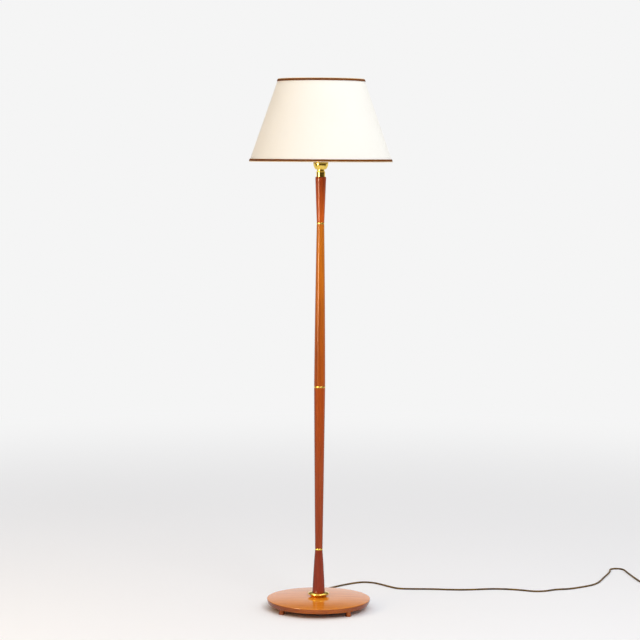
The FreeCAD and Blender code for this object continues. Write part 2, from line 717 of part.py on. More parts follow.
def build_bulb():
    z = z_contact
    r_button = bulb_button_d / 2
    r_cap = bulb_cap_d / 2
    z_body = z + bulb_button_height + bulb_insulator_height
    z_cap_top = z_body + bulb_cap_length
    button = disc(bulb_button_d, z, z + bulb_button_height)
    insulator = turned((0, z + bulb_button_height), [(r_button, z + bulb_button_height)],
                       [(r_cap - bulb_cap_chamfer, z_body)], [(0, z_body)])
    save("bulb_contact", button)
    save("bulb_insulator", insulator)
    wall = bulb_cap_wall
    r_chamfer = r_cap - bulb_cap_chamfer
    z_chamfer = z_body + bulb_cap_chamfer
    save("bulb_cap", turned((0, z_body), [(r_chamfer, z_body)], [(r_cap, z_chamfer)],
                            [(r_cap, z_cap_top)], [(r_cap - wall, z_cap_top)],
                            [(r_cap - wall, z_chamfer + wall)],
                            [(r_chamfer - wall, z_body + wall)], [(0, z_body + wall)]))

    r_bulb = bulb_d / 2
    z_centre = z + bulb_length - r_bulb
    r_neck = r_cap - wall - slip_gap
    z_glass = z_cap_top - bulb_glass_in_cap

    def envelope(inset):
        neck = r_neck - inset
        ball = r_bulb - inset
        swell = z_centre - z_cap_top
        flank = [(neck + 0.6, z_cap_top + swell * 0.12),
                 (neck + (ball - neck) * 0.45, z_cap_top + swell * 0.48),
                 (ball - 1.9, z_centre - swell * 0.27), (ball, z_centre)]
        return neck, flank, [(ball * math.sqrt(0.5), z_centre + ball * math.sqrt(0.5)),
                             (0, z_centre + ball)]

    neck, flank, crown = envelope(0.0)
    outer = turned((0, z_glass), [(neck, z_glass)], [(neck, z_cap_top)], flank, crown)
    neck, flank, crown = envelope(bulb_glass_wall)
    inner = turned((0, z_glass), [(neck, z_glass)], [(neck, z_cap_top)], flank, crown)
    save("bulb_glass", outer.cut(inner))

    z_flare = z_glass + mount_flare_start
    r_mount = mount_d / 2
    z_leg = z_glass + mount_length
    save("bulb_mount", turned(
        (0, z_glass), [(neck - slip_gap, z_glass)], [(neck - slip_gap, z_glass + mount_disc)],
        [(r_mount + mount_flare, z_flare), (r_mount, z_flare + mount_flare_length)],
        [(r_mount, z_leg)], [(0, z_leg)]))
    half = filament_span / 2
    z_root = z_leg + filament_root
    z_coil = z_leg + filament_leg
    leg = [(-r_mount / 2, 0, z_leg), (-r_mount / 2, 0, z_root), (-half, 0, z_coil),
           (half, 0, z_coil), (r_mount / 2, 0, z_root), (r_mount / 2, 0, z_leg)]
    save("bulb_filament", bent_rod(leg, filament_d, filament_d * 0.8)[0])


def build_lead():
    flex_end = relief_start + relief_length
    flex, length, radii, share = bent_rod([(0, 0, z_flex_top), (0, 0, z_lead_exit),
                                           (0, flex_end, z_lead_exit)], lead_d, inner_bend)
    save("inner_flex", flex)

    r_grip = relief_d / 2
    grip = Part.makeCylinder(r_grip, relief_grip)
    taper = Part.makeCone(r_grip, relief_tip_d / 2, relief_length - relief_grip,
                          V(0, 0, relief_grip))
    relief = grip.fuse(taper)
    relief = relief.cut(Part.makeCylinder(lead_d / 2 + flex_gap, relief_length))
    relief.rotate(V(0, 0, 0), V(1, 0, 0), -90)
    save("lead_relief", moved(relief, 0, relief_start, z_lead_exit))

    cleat_y = relief_start + relief_grip / 2 - cleat_width / 2
    r_strap = r_grip + cleat_thickness
    ear_end = r_strap + cleat_ear
    strap = Part.makeBox(2 * ear_end, cleat_width, cleat_thickness,
                         V(-ear_end, cleat_y, z_base - cleat_thickness))
    legs = Part.makeBox(2 * r_strap, cleat_width, r_grip, V(-r_strap, cleat_y, z_lead_exit))
    bow = Part.makeCylinder(r_strap, cleat_width, V(0, cleat_y, z_lead_exit), V(0, 1, 0))
    cleat = strap.fuse(legs).fuse(bow)
    cleat = cleat.cut(Part.makeCylinder(r_grip + slip_gap, cleat_width, V(0, cleat_y, z_lead_exit),
                                        V(0, 1, 0)))
    slot = 2 * (r_grip + slip_gap)
    cleat = cleat.cut(Part.makeBox(slot, cleat_width, r_strap, V(-slot / 2, cleat_y, z_lead_exit)))
    cleat_screw = screw(cleat_screw_d, cleat_screw_length + cleat_thickness, cleat_screw_head_d,
                        cleat_screw_head)
    cleat_screws = []
    for side in (-1, 1):
        x = side * (r_strap + cleat_ear / 2)
        y = cleat_y + cleat_width / 2
        cleat = cleat.cut(Part.makeCylinder(cleat_screw_d / 2 + slip_gap, cleat_thickness,
                                            V(x, y, z_base - cleat_thickness)))
        cleat_screws.append(moved(cleat_screw, x, y,
                                  z_base - cleat_thickness - cleat_screw_head))
    save("lead_cleat", cleat.removeSplitter())
    save("cleat_screws", *cleat_screws)

    route = [exit_point] + route_to_floor + [(x, y, z_floor_lead) for x, y in route_on_floor]
    route.append((route_end[0], route_end[1], z_floor_lead))
    lead, length, radii, share = bent_rod(route, lead_d)
    save("lead", lead)
    runs = [(V(*b) - V(*a)).Length for a, b in zip(route, route[1:])]
    print("lead %.0f mm, runs %.0f to %.0f mm, tightest radius %.0f mm, volume share %.4f"
          % (length, min(runs), max(runs), min(radii), share))
    print("radii", [round(radius) for radius in radii])

    coil_x = route_end[0] + coil_turn_r
    coil_y = route_end[1] - coil_lead_in
    r_out = coil_turn_r + lead_d / 2
    r_in = r_out - coil_turns_across * lead_d
    height = coil_layers * lead_d * 0.95
    ring = disc(2 * r_out, 0, height, 2 * r_in)
    for radius in (r_out, r_in):
        for level in (0, height):
            ring = round_edges(ring, radius, coil_round, level)
    z_plug = plug_thickness / 2
    coil = moved(ring, coil_x, coil_y, 0)
    coil = coil.fuse(Part.makeCylinder(lead_d / 2, coil_lead_in,
                                       V(coil_x - coil_turn_r, coil_y, z_floor_lead), V(0, 1, 0)))
    coil = coil.fuse(Part.makeCylinder(lead_d / 2, coil_lead_out,
                                       V(coil_x + coil_turn_r, coil_y, z_plug), V(0, 1, 0)))
    save("lead_coil", coil)

    plug_x = coil_x + coil_turn_r
    plug_y = coil_y + coil_lead_out
    half = plug_width / 2
    rear = plug_rear_width / 2
    shoulder = plug_body_length - plug_face_length
    corners = [V(-rear, 0, 0), V(-half, shoulder, 0), V(-half, plug_body_length, 0),
               V(half, plug_body_length, 0), V(half, shoulder, 0), V(rear, 0, 0), V(-rear, 0, 0)]
    body = Part.Face(Part.makePolygon(corners)).extrude(V(0, 0, plug_thickness))
    body = body.makeFillet(plug_round, body.Edges)
    body = moved(body, 0, plug_relief_length, -z_plug)
    relief = Part.makeCone(plug_relief_tip_d / 2, plug_relief_root_d / 2, plug_relief_length,
                           V(0, 0, 0), V(0, 1, 0))
    body = body.fuse(relief)
    face_y = plug_relief_length + plug_body_length
    pins = []
    for side in (-1, 1):
        x = side * pin_spacing / 2
        root = V(x, face_y - pin_root_length, 0)
        body = body.cut(Part.makeCylinder(pin_root_d / 2 + slip_gap, pin_root_length, root,
                                          V(0, 1, 0)))
        pin = Part.makeCylinder(pin_d / 2, pin_length, V(x, face_y, 0), V(0, 1, 0))
        tip = [edge for edge in pin.Edges if abs(edge.CenterOfMass.y - face_y - pin_length) < 0.01]
        pin = pin.makeChamfer(pin_chamfer, tip)
        pins.append(pin.fuse(Part.makeCylinder(pin_root_d / 2, pin_root_length, root, V(0, 1, 0))))
    save("plug_body", moved(body, plug_x, plug_y, z_plug))
    save("plug_pins", *[moved(pin, plug_x, plug_y, z_plug) for pin in pins])
    print("plug at", plug_x, plug_y, "face y", plug_y + face_y)


os.makedirs("parts", exist_ok=True)
build_base()
build_stem()
build_lampholder()
build_shade()
build_bulb()
build_lead()
print("shade", round(z_rim, 1), round(z_rim + shade_height, 1))
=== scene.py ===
import bpy
import math
import numpy as np
from mathutils import Matrix, Vector


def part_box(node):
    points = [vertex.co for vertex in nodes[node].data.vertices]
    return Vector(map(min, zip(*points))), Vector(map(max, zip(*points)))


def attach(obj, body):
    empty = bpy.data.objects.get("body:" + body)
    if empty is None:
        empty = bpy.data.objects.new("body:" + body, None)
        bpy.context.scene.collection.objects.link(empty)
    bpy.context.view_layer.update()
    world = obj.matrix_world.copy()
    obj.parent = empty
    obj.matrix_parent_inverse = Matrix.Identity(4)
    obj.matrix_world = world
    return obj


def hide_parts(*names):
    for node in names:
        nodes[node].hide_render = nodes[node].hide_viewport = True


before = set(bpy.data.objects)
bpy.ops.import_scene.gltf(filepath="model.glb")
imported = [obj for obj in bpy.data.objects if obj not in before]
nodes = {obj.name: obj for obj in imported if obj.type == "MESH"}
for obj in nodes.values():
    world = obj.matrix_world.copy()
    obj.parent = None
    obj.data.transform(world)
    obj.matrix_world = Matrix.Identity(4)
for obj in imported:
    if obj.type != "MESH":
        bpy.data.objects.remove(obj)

# Candlestick floor lamp. Metres, +Z up, the lamp's axis on Z, the viewer in front at -Y.
scene = bpy.context.scene
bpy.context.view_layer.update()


# camera

view = {
    "eye": (0.0, -5.786, 1.300),
    "pitchDown": 4.7013,        # degrees
    "roll": 0.3,                # the photograph leans this much
    "lens": 115.83,
}


def makeCamera():
    data = bpy.data.cameras.new("view")
    data.lens = view["lens"]
    data.sensor_width = 36.0
    data.clip_end = 60.0
    camera = bpy.data.objects.new("view", data)
    scene.collection.objects.link(camera)
    look = Matrix.Rotation(math.radians(90.0 - view["pitchDown"]), 4, "X")
    lean = Matrix.Rotation(math.radians(view["roll"]), 4, "Z")
    camera.matrix_world = Matrix.Translation(view["eye"]) @ look @ lean
    scene.camera = camera


makeCamera()
print("camera is in place")


# surfaces from outlines and grids

def meshFromGrid(name, points, wrapRows=False, capStart=False, capEnd=False):
    # a grid of rows and closed columns joined by quads, its ends closed by a fan about their
    # middle; the map called run holds (column share, row share)
    rows, columns = points.shape[:2]
    allPoints = points.reshape(-1, 3)
    rowSteps = rows if wrapRows else rows - 1
    i, j = np.meshgrid(np.arange(rowSteps), np.arange(columns), indexing="ij")
    i, j = i.ravel(), j.ravel()
    i2, j2 = (i + 1) % rows, (j + 1) % columns
    quads = np.stack([i * columns + j, i * columns + j2, i2 * columns + j2, i2 * columns + j], 1)
    u0, u1 = j / columns, (j + 1) / columns
    v0, v1 = i / rowSteps, (i + 1) / rowSteps
    quadRun = np.stack([u0, v0, u1, v0, u1, v1, u0, v1], 1).reshape(-1, 2)
    triangles = np.zeros((0, 3), int)
    for wanted, row, back in ((capStart, 0, True), (capEnd, rows - 1, False)):
        if not wanted:
            continue
        middle = len(allPoints)
        allPoints = np.vstack([allPoints, points[row].mean(0)])
        edge = row * columns + np.arange(columns)
        fan = np.stack([edge, np.roll(edge, -1), np.full(columns, middle)], 1)
        triangles = np.vstack([triangles, fan[:, ::-1] if back else fan])
    a, b, c, d = (allPoints[quads[:, k]] for k in range(4))
    p, q, r = (allPoints[triangles[:, k]] for k in range(3))
    volume = (a * np.cross(b, c)).sum() + (a * np.cross(c, d)).sum() + (p * np.cross(q, r)).sum()
    corners = np.concatenate([quads.ravel(), triangles.ravel()])
    run = np.vstack([quadRun, np.zeros((triangles.size, 2))])
    sizes = np.concatenate([np.full(len(quads), 4), np.full(len(triangles), 3)])
    starts = np.concatenate([[0], np.cumsum(sizes)[:-1]])
    if volume < 0:          # inside out, so every face is walked the other way
        for size, first in ((4, 0), (3, quads.size)):
            last = quads.size if size == 4 else corners.size
            corners[first:last] = corners[first:last].reshape(-1, size)[:, ::-1].ravel()
            run[first:last] = run[first:last].reshape(-1, size, 2)[:, ::-1].reshape(-1, 2)
    mesh = bpy.data.meshes.new(name)
    mesh.vertices.add(len(allPoints))
    mesh.vertices.foreach_set("co", allPoints.astype(np.float32).ravel())
    mesh.loops.add(len(corners))
    mesh.loops.foreach_set("vertex_index", corners.astype(np.int32))
    mesh.polygons.add(len(sizes))
    mesh.polygons.foreach_set("loop_start", starts.astype(np.int32))
    mesh.update(calc_edges=True)
    layer = mesh.uv_layers.new(name="run")
    layer.data.foreach_set("uv", run.astype(np.float32).ravel())
    mesh.validate()
    mesh.shade_smooth()
    return mesh


def addPiece(name, mesh, body, material, replaced=(), sharp=35.0):
    if sharp:
        mesh.set_sharp_from_angle(angle=math.radians(sharp))
    piece = bpy.data.objects.new(name, mesh)
    scene.collection.objects.link(piece)
    mesh.materials.append(material)
    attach(piece, body)
    if replaced:
        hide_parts(*replaced)
    return piece


def arcThrough(start, middle, end, steps):
    # points on the circle through three points: its centre is as far from each of them
    a, b, c = (np.array(p, float) for p in (start, middle, end))
    cross = 2 * (a[0] * (b[1] - c[1]) + b[0] * (c[1] - a[1]) + c[0] * (a[1] - b[1]))
    if abs(cross) < 1e-12:
        return np.array([a, b, c])
    x = ((a @ a) * (b[1] - c[1]) + (b @ b) * (c[1] - a[1]) + (c @ c) * (a[1] - b[1])) / cross
    y = ((a @ a) * (c[0] - b[0]) + (b @ b) * (a[0] - c[0]) + (c @ c) * (b[0] - a[0])) / cross
    centre = np.array([x, y])
    angles = [math.atan2(p[1] - y, p[0] - x) for p in (a, b, c)]
    toMiddle = (angles[1] - angles[0]) % (2 * math.pi)
    sweep = (angles[2] - angles[0]) % (2 * math.pi)
    if toMiddle > sweep:
        sweep -= 2 * math.pi
    turn = angles[0] + np.linspace(0, 1, steps + 1) * sweep
    reach = np.linalg.norm(a - centre)
    return centre + reach * np.stack([np.cos(turn), np.sin(turn)], 1)


def outlineOf(corners, arcSteps=24, roundSteps=5, closed=True):
    # an outline in (r, z) from corners (r, z, rounding, arc point): a corner is rounded by a
    # parabola between points at the rounding's distance, and a side with an arc point bends
    # through it; a point beside each rounding keeps its shading off the side
    beside, clearOf = 1.4, 1.6
    count = len(corners)
    places = [np.array(corner[:2], float) for corner in corners]
    sides = []
    for index in range(count if closed else count - 1):
        here, ahead = places[index], places[(index + 1) % count]
        if len(corners[index]) > 3:
            sides.append(arcThrough(here, corners[index][3], ahead, arcSteps))
        else:
            sides.append(np.array([here, ahead]))
    line = []
    for index in range(count):
        corner = places[index]
        rounding = corners[index][2] if len(corners[index]) > 2 else 0.0
        if rounding:
            back = sides[index - 1][-2] - corner
            onward = sides[index][1] - corner
            back /= np.linalg.norm(back)
            onward /= np.linalg.norm(onward)
            t = np.linspace(0, 1, roundSteps + 1)[:, None]
            entry, leave = corner + back * rounding, corner + onward * rounding
            curve = (1 - t) ** 2 * entry + 2 * t * (1 - t) * corner + t ** 2 * leave
            line += [corner + back * rounding * beside, *curve,
                     corner + onward * rounding * beside]
        else:
            line.append(corner)
        if index < len(sides):
            following = corners[(index + 1) % count]
            nextRounding = following[2] if len(following) > 2 else 0.0
            for point in sides[index][1:-1]:
                clear = np.linalg.norm(point - corner) > rounding * clearOf
                ahead = np.linalg.norm(point - places[(index + 1) % count])
                if clear and ahead > nextRounding * clearOf:
                    line.append(point)
    return np.array(line)


def anglesRound(count):
    return np.arange(count) * 2 * math.pi / count


def ringGrid(r, z, angle):
    # each (r, z) goes round the lamp's axis: x = r cos a, y = r sin a
    x, y, z = np.broadcast_arrays(r * np.cos(angle), r * np.sin(angle), z + 0 * angle)
    return np.stack([x, y, z], 2)


def turnedMesh(name, line, segments):
    # an outline whose ends lie on the axis is solid: they are left out, and fans close it
    solid = line[0][0] < 1e-9 and line[-1][0] < 1e-9
    if solid:
        line = line[1:-1]
    grid = ringGrid(line[:, :1], line[:, 1:], anglesRound(segments))
    return meshFromGrid(name, grid, wrapRows=not solid, capStart=solid, capEnd=solid)


def movedMesh(mesh, x=0.0, y=0.0, z=0.0, turn=None):
    # places a mesh that was worked out about the origin: turned first, then shifted
    place = Matrix.Translation((x, y, z))
    mesh.transform(place @ turn if turn else place)
    return mesh


def levels(node):
    low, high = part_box(node)
    return low.z, high.z


# node trees

def put(tree, kind, settings=None, **sockets):
    # one node, its own settings, and its inputs, each a number, a colour or another output
    node = tree.nodes.new(kind)
    for name, value in (settings or {}).items():
        setattr(node, name, value)
    for name, value in sockets.items():
        feed(tree, node.inputs[name.replace("_", " ")], value)
    return node


def feed(tree, socket, value):
    if isinstance(value, bpy.types.NodeSocket):
        tree.links.new(value, socket)
    else:
        socket.default_value = value


def maths(tree, operation, first, second=0.0, clamp=False):
    node = put(tree, "ShaderNodeMath", {"operation": operation, "use_clamp": clamp})
    feed(tree, node.inputs[0], first)
    feed(tree, node.inputs[1], second)
    return node.outputs[0]


def plus(tree, first, second, clamp=False):
    return maths(tree, "ADD", first, second, clamp)


def times(tree, first, second, clamp=False):
    return maths(tree, "MULTIPLY", first, second, clamp)


def scaled(tree, vector, factors):
    node = put(tree, "ShaderNodeVectorMath", {"operation": "MULTIPLY"})
    feed(tree, node.inputs[0], vector)
    node.inputs[1].default_value = factors
    return node.outputs[0]


def mixed(tree, factor, first, second, mode="MIX"):
    node = put(tree, "ShaderNodeMix", {"data_type": "RGBA", "blend_type": mode})
    feed(tree, node.inputs[0], factor)
    feed(tree, node.inputs[6], first)
    feed(tree, node.inputs[7], second)
    return node.outputs[2]


def ramp(tree, factor, low, high):
    # eases from 0 at low to 1 at high, whichever of the two is larger
    first, last = (0.0, 1.0) if low < high else (1.0, 0.0)
    node = put(tree, "ShaderNodeMapRange", {"interpolation_type": "SMOOTHSTEP"}, Value=factor,
               From_Min=min(low, high), From_Max=max(low, high), To_Min=first, To_Max=last)
    return node.outputs[0]


def noise(tree, vector, scale, detail=3.0, roughness=0.5, distortion=0.0):
    node = put(tree, "ShaderNodeTexNoise", Vector=vector, Scale=scale, Detail=detail,
               Roughness=roughness, Distortion=distortion)
    return node.outputs[0]


def tint(red, green, blue):
    return (red, green, blue, 1.0)


def startGroup(name, inputs, outputs):
    group = bpy.data.node_groups.new(name, "ShaderNodeTree")
    for kind, label, value in inputs:
        socket = group.interface.new_socket(label, in_out="INPUT", socket_type="NodeSocket" + kind)
        if value is not None:
            socket.default_value = value
    for kind, label in outputs:
        group.interface.new_socket(label, in_out="OUTPUT", socket_type="NodeSocket" + kind)
    return group, group.nodes.new("NodeGroupInput").outputs, group.nodes.new("NodeGroupOutput")


def giveOut(group, out, **values):
    for label, value in values.items():
        group.links.new(value, out.inputs[label])


def use(tree, group, **sockets):
    node = put(tree, "ShaderNodeGroup", {"node_tree": group})
    for name, value in sockets.items():
        feed(tree, node.inputs[name], value)
    return node.outputs


def makeWoodGroup():
    # turned wood: growth layers as bent planes, fine fibres and short dark pores, all drawn out
    # along the grain, which is the group's Z
    group, given, out = startGroup("turned wood", [
        ("Vector", "Place", None), ("Color", "Dark", None), ("Color", "Middle", None),
        ("Color", "Light", None), ("Float", "Figure", 0.6), ("Float", "Pores", 0.5),
        ("Vector", "Facing", None), ("Float", "Ends", 0.5),
    ], [("Color", "Colour"), ("Float", "Height"), ("Float", "Roughness")])
    place = given["Place"]
    slow = noise(group, scaled(group, place, (9.0, 9.0, 1.4)), 1.0, 2.0)
    layers = put(group, "ShaderNodeTexWave", {"bands_direction": "X"},
                 Vector=scaled(group, place, (60.0, 25.0, 2.2)), Scale=0.5, Distortion=5.0,
                 Detail=3.0, Detail_Scale=0.7, Detail_Roughness=0.6).outputs[1]
    fibres = noise(group, scaled(group, place, (900.0, 900.0, 22.0)), 1.0, 4.0, 0.65)
    streaks = noise(group, scaled(group, place, (170.0, 170.0, 5.0)), 1.0, 3.0, 0.6)
    poreNoise = noise(group, scaled(group, place, (1500.0, 1500.0, 95.0)), 1.0, 2.0, 0.5)
    pores = times(group, ramp(group, poreNoise, 0.60, 0.72), given["Pores"])
    figure = times(group, layers, given["Figure"])
    tone = plus(group, times(group, figure, 0.55), times(group, ramp(group, slow, 0.3, 0.7), 0.45))
    base = mixed(group, tone, given["Middle"], given["Light"])
    streaky = mixed(group, times(group, ramp(group, streaks, 0.48, 0.72), 0.55),
                    base, given["Dark"])
    fibred = mixed(group, times(group, ramp(group, fibres, 0.45, 0.75), 0.35),
                   streaky, given["Dark"])
    deep = mixed(group, 0.55, given["Dark"], tint(0.01, 0.003, 0.001))
    colour = mixed(group, pores, fibred, deep)
    along = put(group, "ShaderNodeSeparateXYZ", Vector=given["Facing"]).outputs[2]
    endGrain = times(group, ramp(group, maths(group, "ABSOLUTE", along), 0.15, 0.95),
                     given["Ends"])
    colour = mixed(group, endGrain, colour, mixed(group, 0.5, given["Dark"], deep))
    height = maths(group, "SUBTRACT", times(group, fibres, 0.35), pores)
    rough = plus(group, 0.34, times(group, streaks, 0.18))
    giveOut(group, out, Colour=colour, Height=height, Roughness=rough)
    return group


def makeWearGroup():
    # rubbed edges: where the surface is more pointed than its surroundings, broken up by noise
    group, given, out = startGroup("rubbed edges", [
        ("Vector", "Place", None), ("Float", "Amount", 0.5), ("Float", "Patch", 60.0),
    ], [("Float", "Mask")])
    pointed = group.nodes.new("ShaderNodeNewGeometry").outputs["Pointiness"]
    broken = put(group, "ShaderNodeTexNoise", Vector=given["Place"], Scale=given["Patch"],
                 Detail=4.0).outputs[0]
    edge = ramp(group, pointed, 0.52, 0.62)
    mask = times(group, edge, ramp(group, broken, 0.3, 0.65))
    giveOut(group, out, Mask=times(group, mask, given["Amount"], clamp=True))
    return group


def makeDustGroup():
    # dust lies where a surface faces up, in thin patches
    group, given, out = startGroup("resting dust", [
        ("Vector", "Place", None), ("Float", "Amount", 0.3),
    ], [("Float", "Mask")])
    normal = group.nodes.new("ShaderNodeNewGeometry").outputs["Normal"]
    facing = put(group, "ShaderNodeSeparateXYZ", Vector=normal).outputs[2]
    patches = noise(group, given["Place"], 38.0, 5.0, 0.7)
    specks = noise(group, given["Place"], 900.0, 2.0, 0.5)
    cover = plus(group, ramp(group, patches, 0.42, 0.75), ramp(group, specks, 0.62, 0.75))
    mask = times(group, ramp(group, facing, 0.55, 0.98), cover)
    giveOut(group, out, Mask=times(group, mask, given["Amount"], clamp=True))
    return group


def makePolishGroup():
    # turned and polished metal: fine lines round the axis, soft stains and faint scratches
    group, given, out = startGroup("polished metal", [
        ("Vector", "Place", None), ("Float", "Lines", 0.5), ("Float", "Stain", 0.4),
    ], [("Float", "Height"), ("Float", "Stained"), ("Float", "Roughness")])
    place = given["Place"]
    lines = noise(group, scaled(group, place, (3.0, 3.0, 3200.0)), 1.0, 3.0, 0.7)
    scratches = noise(group, scaled(group, place, (180.0, 1400.0, 260.0)), 1.0, 2.0, 0.8, 0.6)
    stainAndShade = noise(group, place, 75.0, 5.0, 0.65)
    height = times(group, lines, given["Lines"])
    height = plus(group, height, times(group, scratches, 0.12))
    stainedAndShaded = times(group, ramp(group, stainAndShade, 0.46, 0.74), given["Stain"])
    rough = times(group, stainedAndShaded, 0.22)
    giveOut(group, out, Height=height, Stained=stainedAndShaded, Roughness=rough)
    return group


def makeWeaveGroup():
    # plain weave on the run map: warp and weft are rounded threads, and each covers the other in
    # turn; one unit of Threads is one thread
    group, given, out = startGroup("plain weave", [
        ("Vector", "Threads", None), ("Float", "Slub", 0.4),
    ], [("Float", "Height"), ("Float", "Shade")])
    split = put(group, "ShaderNodeSeparateXYZ", Vector=given["Threads"])
    waves = [maths(group, "SINE", times(group, split.outputs[k], math.pi))
             for k in (0, 1)]
    over = maths(group, "GREATER_THAN", times(group, *waves), 0.0)
    warp, weft = (maths(group, "ABSOLUTE", wave) for wave in waves)
    height = plus(group, times(group, warp, over),
                  times(group, weft, maths(group, "SUBTRACT", 1.0, over)))
    slubs = noise(group, scaled(group, given["Threads"], (0.9, 0.03, 1.0)), 1.0, 2.0, 0.6)
    slubsAcross = noise(group, scaled(group, given["Threads"], (0.03, 0.9, 1.0)), 1.0, 2.0, 0.6)
    both = plus(group, ramp(group, slubs, 0.35, 0.7), ramp(group, slubsAcross, 0.35, 0.7))
    shade = times(group, both, given["Slub"])
    giveOut(group, out, Height=plus(group, height, shade), Shade=shade)
    return group


woodGroup = makeWoodGroup()
wearGroup = makeWearGroup()
dustGroup = makeDustGroup()
polishGroup = makePolishGroup()
weaveGroup = makeWeaveGroup()


def startMaterial(name):
    material = bpy.data.materials.new(name)
    material.use_nodes = True
    tree = material.node_tree
    tree.nodes.clear()
    shader = tree.nodes.new("ShaderNodeBsdfPrincipled")
    output = tree.nodes.new("ShaderNodeOutputMaterial")
    tree.links.new(shader.outputs[0], output.inputs[0])
    return material, tree, shader


def setShader(tree, shader, **sockets):
    for name, value in sockets.items():
        feed(tree, shader.inputs[name.replace("_", " ")], value)


def objectPlace(tree, turn=(0.0, 0.0, 0.0), move=(0.0, 0.0, 0.0)):
    coordinates = tree.nodes.new("ShaderNodeTexCoord").outputs["Object"]
    mapping = put(tree, "ShaderNodeMapping", Vector=coordinates)
    mapping.inputs["Rotation"].default_value = turn
    mapping.inputs["Location"].default_value = move
    return mapping.outputs[0]


def bumped(tree, height, strength, distance):
    return put(tree, "ShaderNodeBump", Height=height, Strength=strength,
               Distance=distance).outputs[0]


def woodFinish(name, dark, middle, light, turn=(0.0, 0.0, 0.0), move=(0.0, 0.0, 0.0),
               figure=0.6, pores=0.5, wear=0.35, dust=0.1, coat=0.42, polish=0.16,
               endGrain=0.6, stainAndShade=(1.0, 1.0, 1.0), shadeSpan=(0.0, 1.0), depth=0.0):
    # clear lacquer over grained wood, rubbed paler at its edges; a tint darkens the colour from
    # the first height of the span to the second, painted shade along the stem, and the depth
    # darkens the colour and thins the lacquer where the surface is seen at a slant, painted shade
    # at its outline
    material, tree, shader = startMaterial(name)
    place = objectPlace(tree, turn, move)
    facing = tree.nodes.new("ShaderNodeTexCoord").outputs["Normal"]
    facing = put(tree, "ShaderNodeMapping", {"vector_type": "VECTOR"}, Vector=facing,
                 Rotation=turn).outputs[0]
    grain = use(tree, woodGroup, Place=place, Dark=tint(*dark), Middle=tint(*middle),
                Light=tint(*light), Figure=figure, Pores=pores, Facing=facing, Ends=endGrain)
    # painted shade: the tint darkens the colour between the span's two heights
    height = put(tree, "ShaderNodeSeparateXYZ", Vector=objectPlace(tree)).outputs[2]
    stainedAndShaded = mixed(tree, ramp(tree, height, *shadeSpan), grain["Colour"],
                    mixed(tree, 1.0, grain["Colour"], tint(*stainAndShade), "MULTIPLY"))
    rubbed = use(tree, wearGroup, Place=place, Amount=wear, Patch=70.0)["Mask"]
    colour = mixed(tree, rubbed, stainedAndShaded, tint(*(0.35 + 0.65 * c for c in light)))
    dusty = use(tree, dustGroup, Place=place, Amount=dust)["Mask"]
    colour = mixed(tree, dusty, colour, tint(0.62, 0.58, 0.53))
    rough = plus(tree, grain["Roughness"], times(tree, dusty, 0.4))
    normal = bumped(tree, grain["Height"], 0.12, 0.0002)
    # painted shade: towards the outline the colour darkens and the lacquer thins
    if depth:
        facing = put(tree, "ShaderNodeLayerWeight", Blend=0.5).outputs["Facing"]
        slant = times(tree, ramp(tree, facing, 0.45, 0.95), depth)
        colour = mixed(tree, slant, colour, tint(*(0.25 * c for c in dark)))
        coat = times(tree, coat, maths(tree, "SUBTRACT", 1.0, slant))
    setShader(tree, shader, Base_Color=colour, Roughness=rough, Normal=normal,
              Coat_Weight=coat, Coat_Roughness=polish, Specular_IOR_Level=0.05)
    return material


def metalFinish(name, colour, stainColour, roughness, lines=0.4, stainAndShade=0.4, dust=0.0):
    # polished or plated metal with stains, rubbed bright at its edges
    material, tree, shader = startMaterial(name)
    place = objectPlace(tree)
    polish = use(tree, polishGroup, Place=place, Lines=lines, Stain=stainAndShade)
    rubbed = use(tree, wearGroup, Place=place, Amount=0.5, Patch=90.0)["Mask"]
    base = mixed(tree, polish["Stained"], tint(*colour), tint(*stainColour))
    bright = tint(*(min(1.0, 0.15 + 0.9 * c) for c in colour))
    base = mixed(tree, rubbed, base, bright)
    dusty = use(tree, dustGroup, Place=place, Amount=dust)["Mask"]
    base = mixed(tree, dusty, base, tint(0.55, 0.5, 0.44))
    rough = plus(tree, roughness, polish["Roughness"])
    rough = plus(tree, rough, times(tree, dusty, 0.3), clamp=True)
    setShader(tree, shader, Base_Color=base, Roughness=rough, Metallic=1.0,
              Normal=bumped(tree, polish["Height"], 0.1, 0.00005))
    return material


def plasticFinish(name, colour, roughness, fleck=0.12, bump=0.25, grainScale=900.0, dust=0.15,
                  gloss=0.5):
    # moulded plastic, rubber, paint or china: a fine skin, a slight cloud in the colour, dust
    material, tree, shader = startMaterial(name)
    place = objectPlace(tree)
    skin = noise(tree, place, grainScale, 3.0, 0.6)
    cloud = noise(tree, place, 45.0, 4.0, 0.6)
    darker = tint(*(c * (1.0 - fleck * 2) for c in colour))
    base = mixed(tree, ramp(tree, cloud, 0.35, 0.7), darker, tint(*colour))
    rubbed = use(tree, wearGroup, Place=place, Amount=0.4, Patch=80.0)["Mask"]
    base = mixed(tree, rubbed, base, tint(*(min(1.0, 0.06 + c * 1.25) for c in colour)))
    dusty = use(tree, dustGroup, Place=place, Amount=dust)["Mask"]
    base = mixed(tree, dusty, base, tint(0.5, 0.47, 0.43))
    rough = plus(tree, roughness, times(tree, cloud, 0.12))
    setShader(tree, shader, Base_Color=base, Roughness=rough,
              Normal=bumped(tree, skin, bump, 0.0001), Specular_IOR_Level=gloss)
    return material


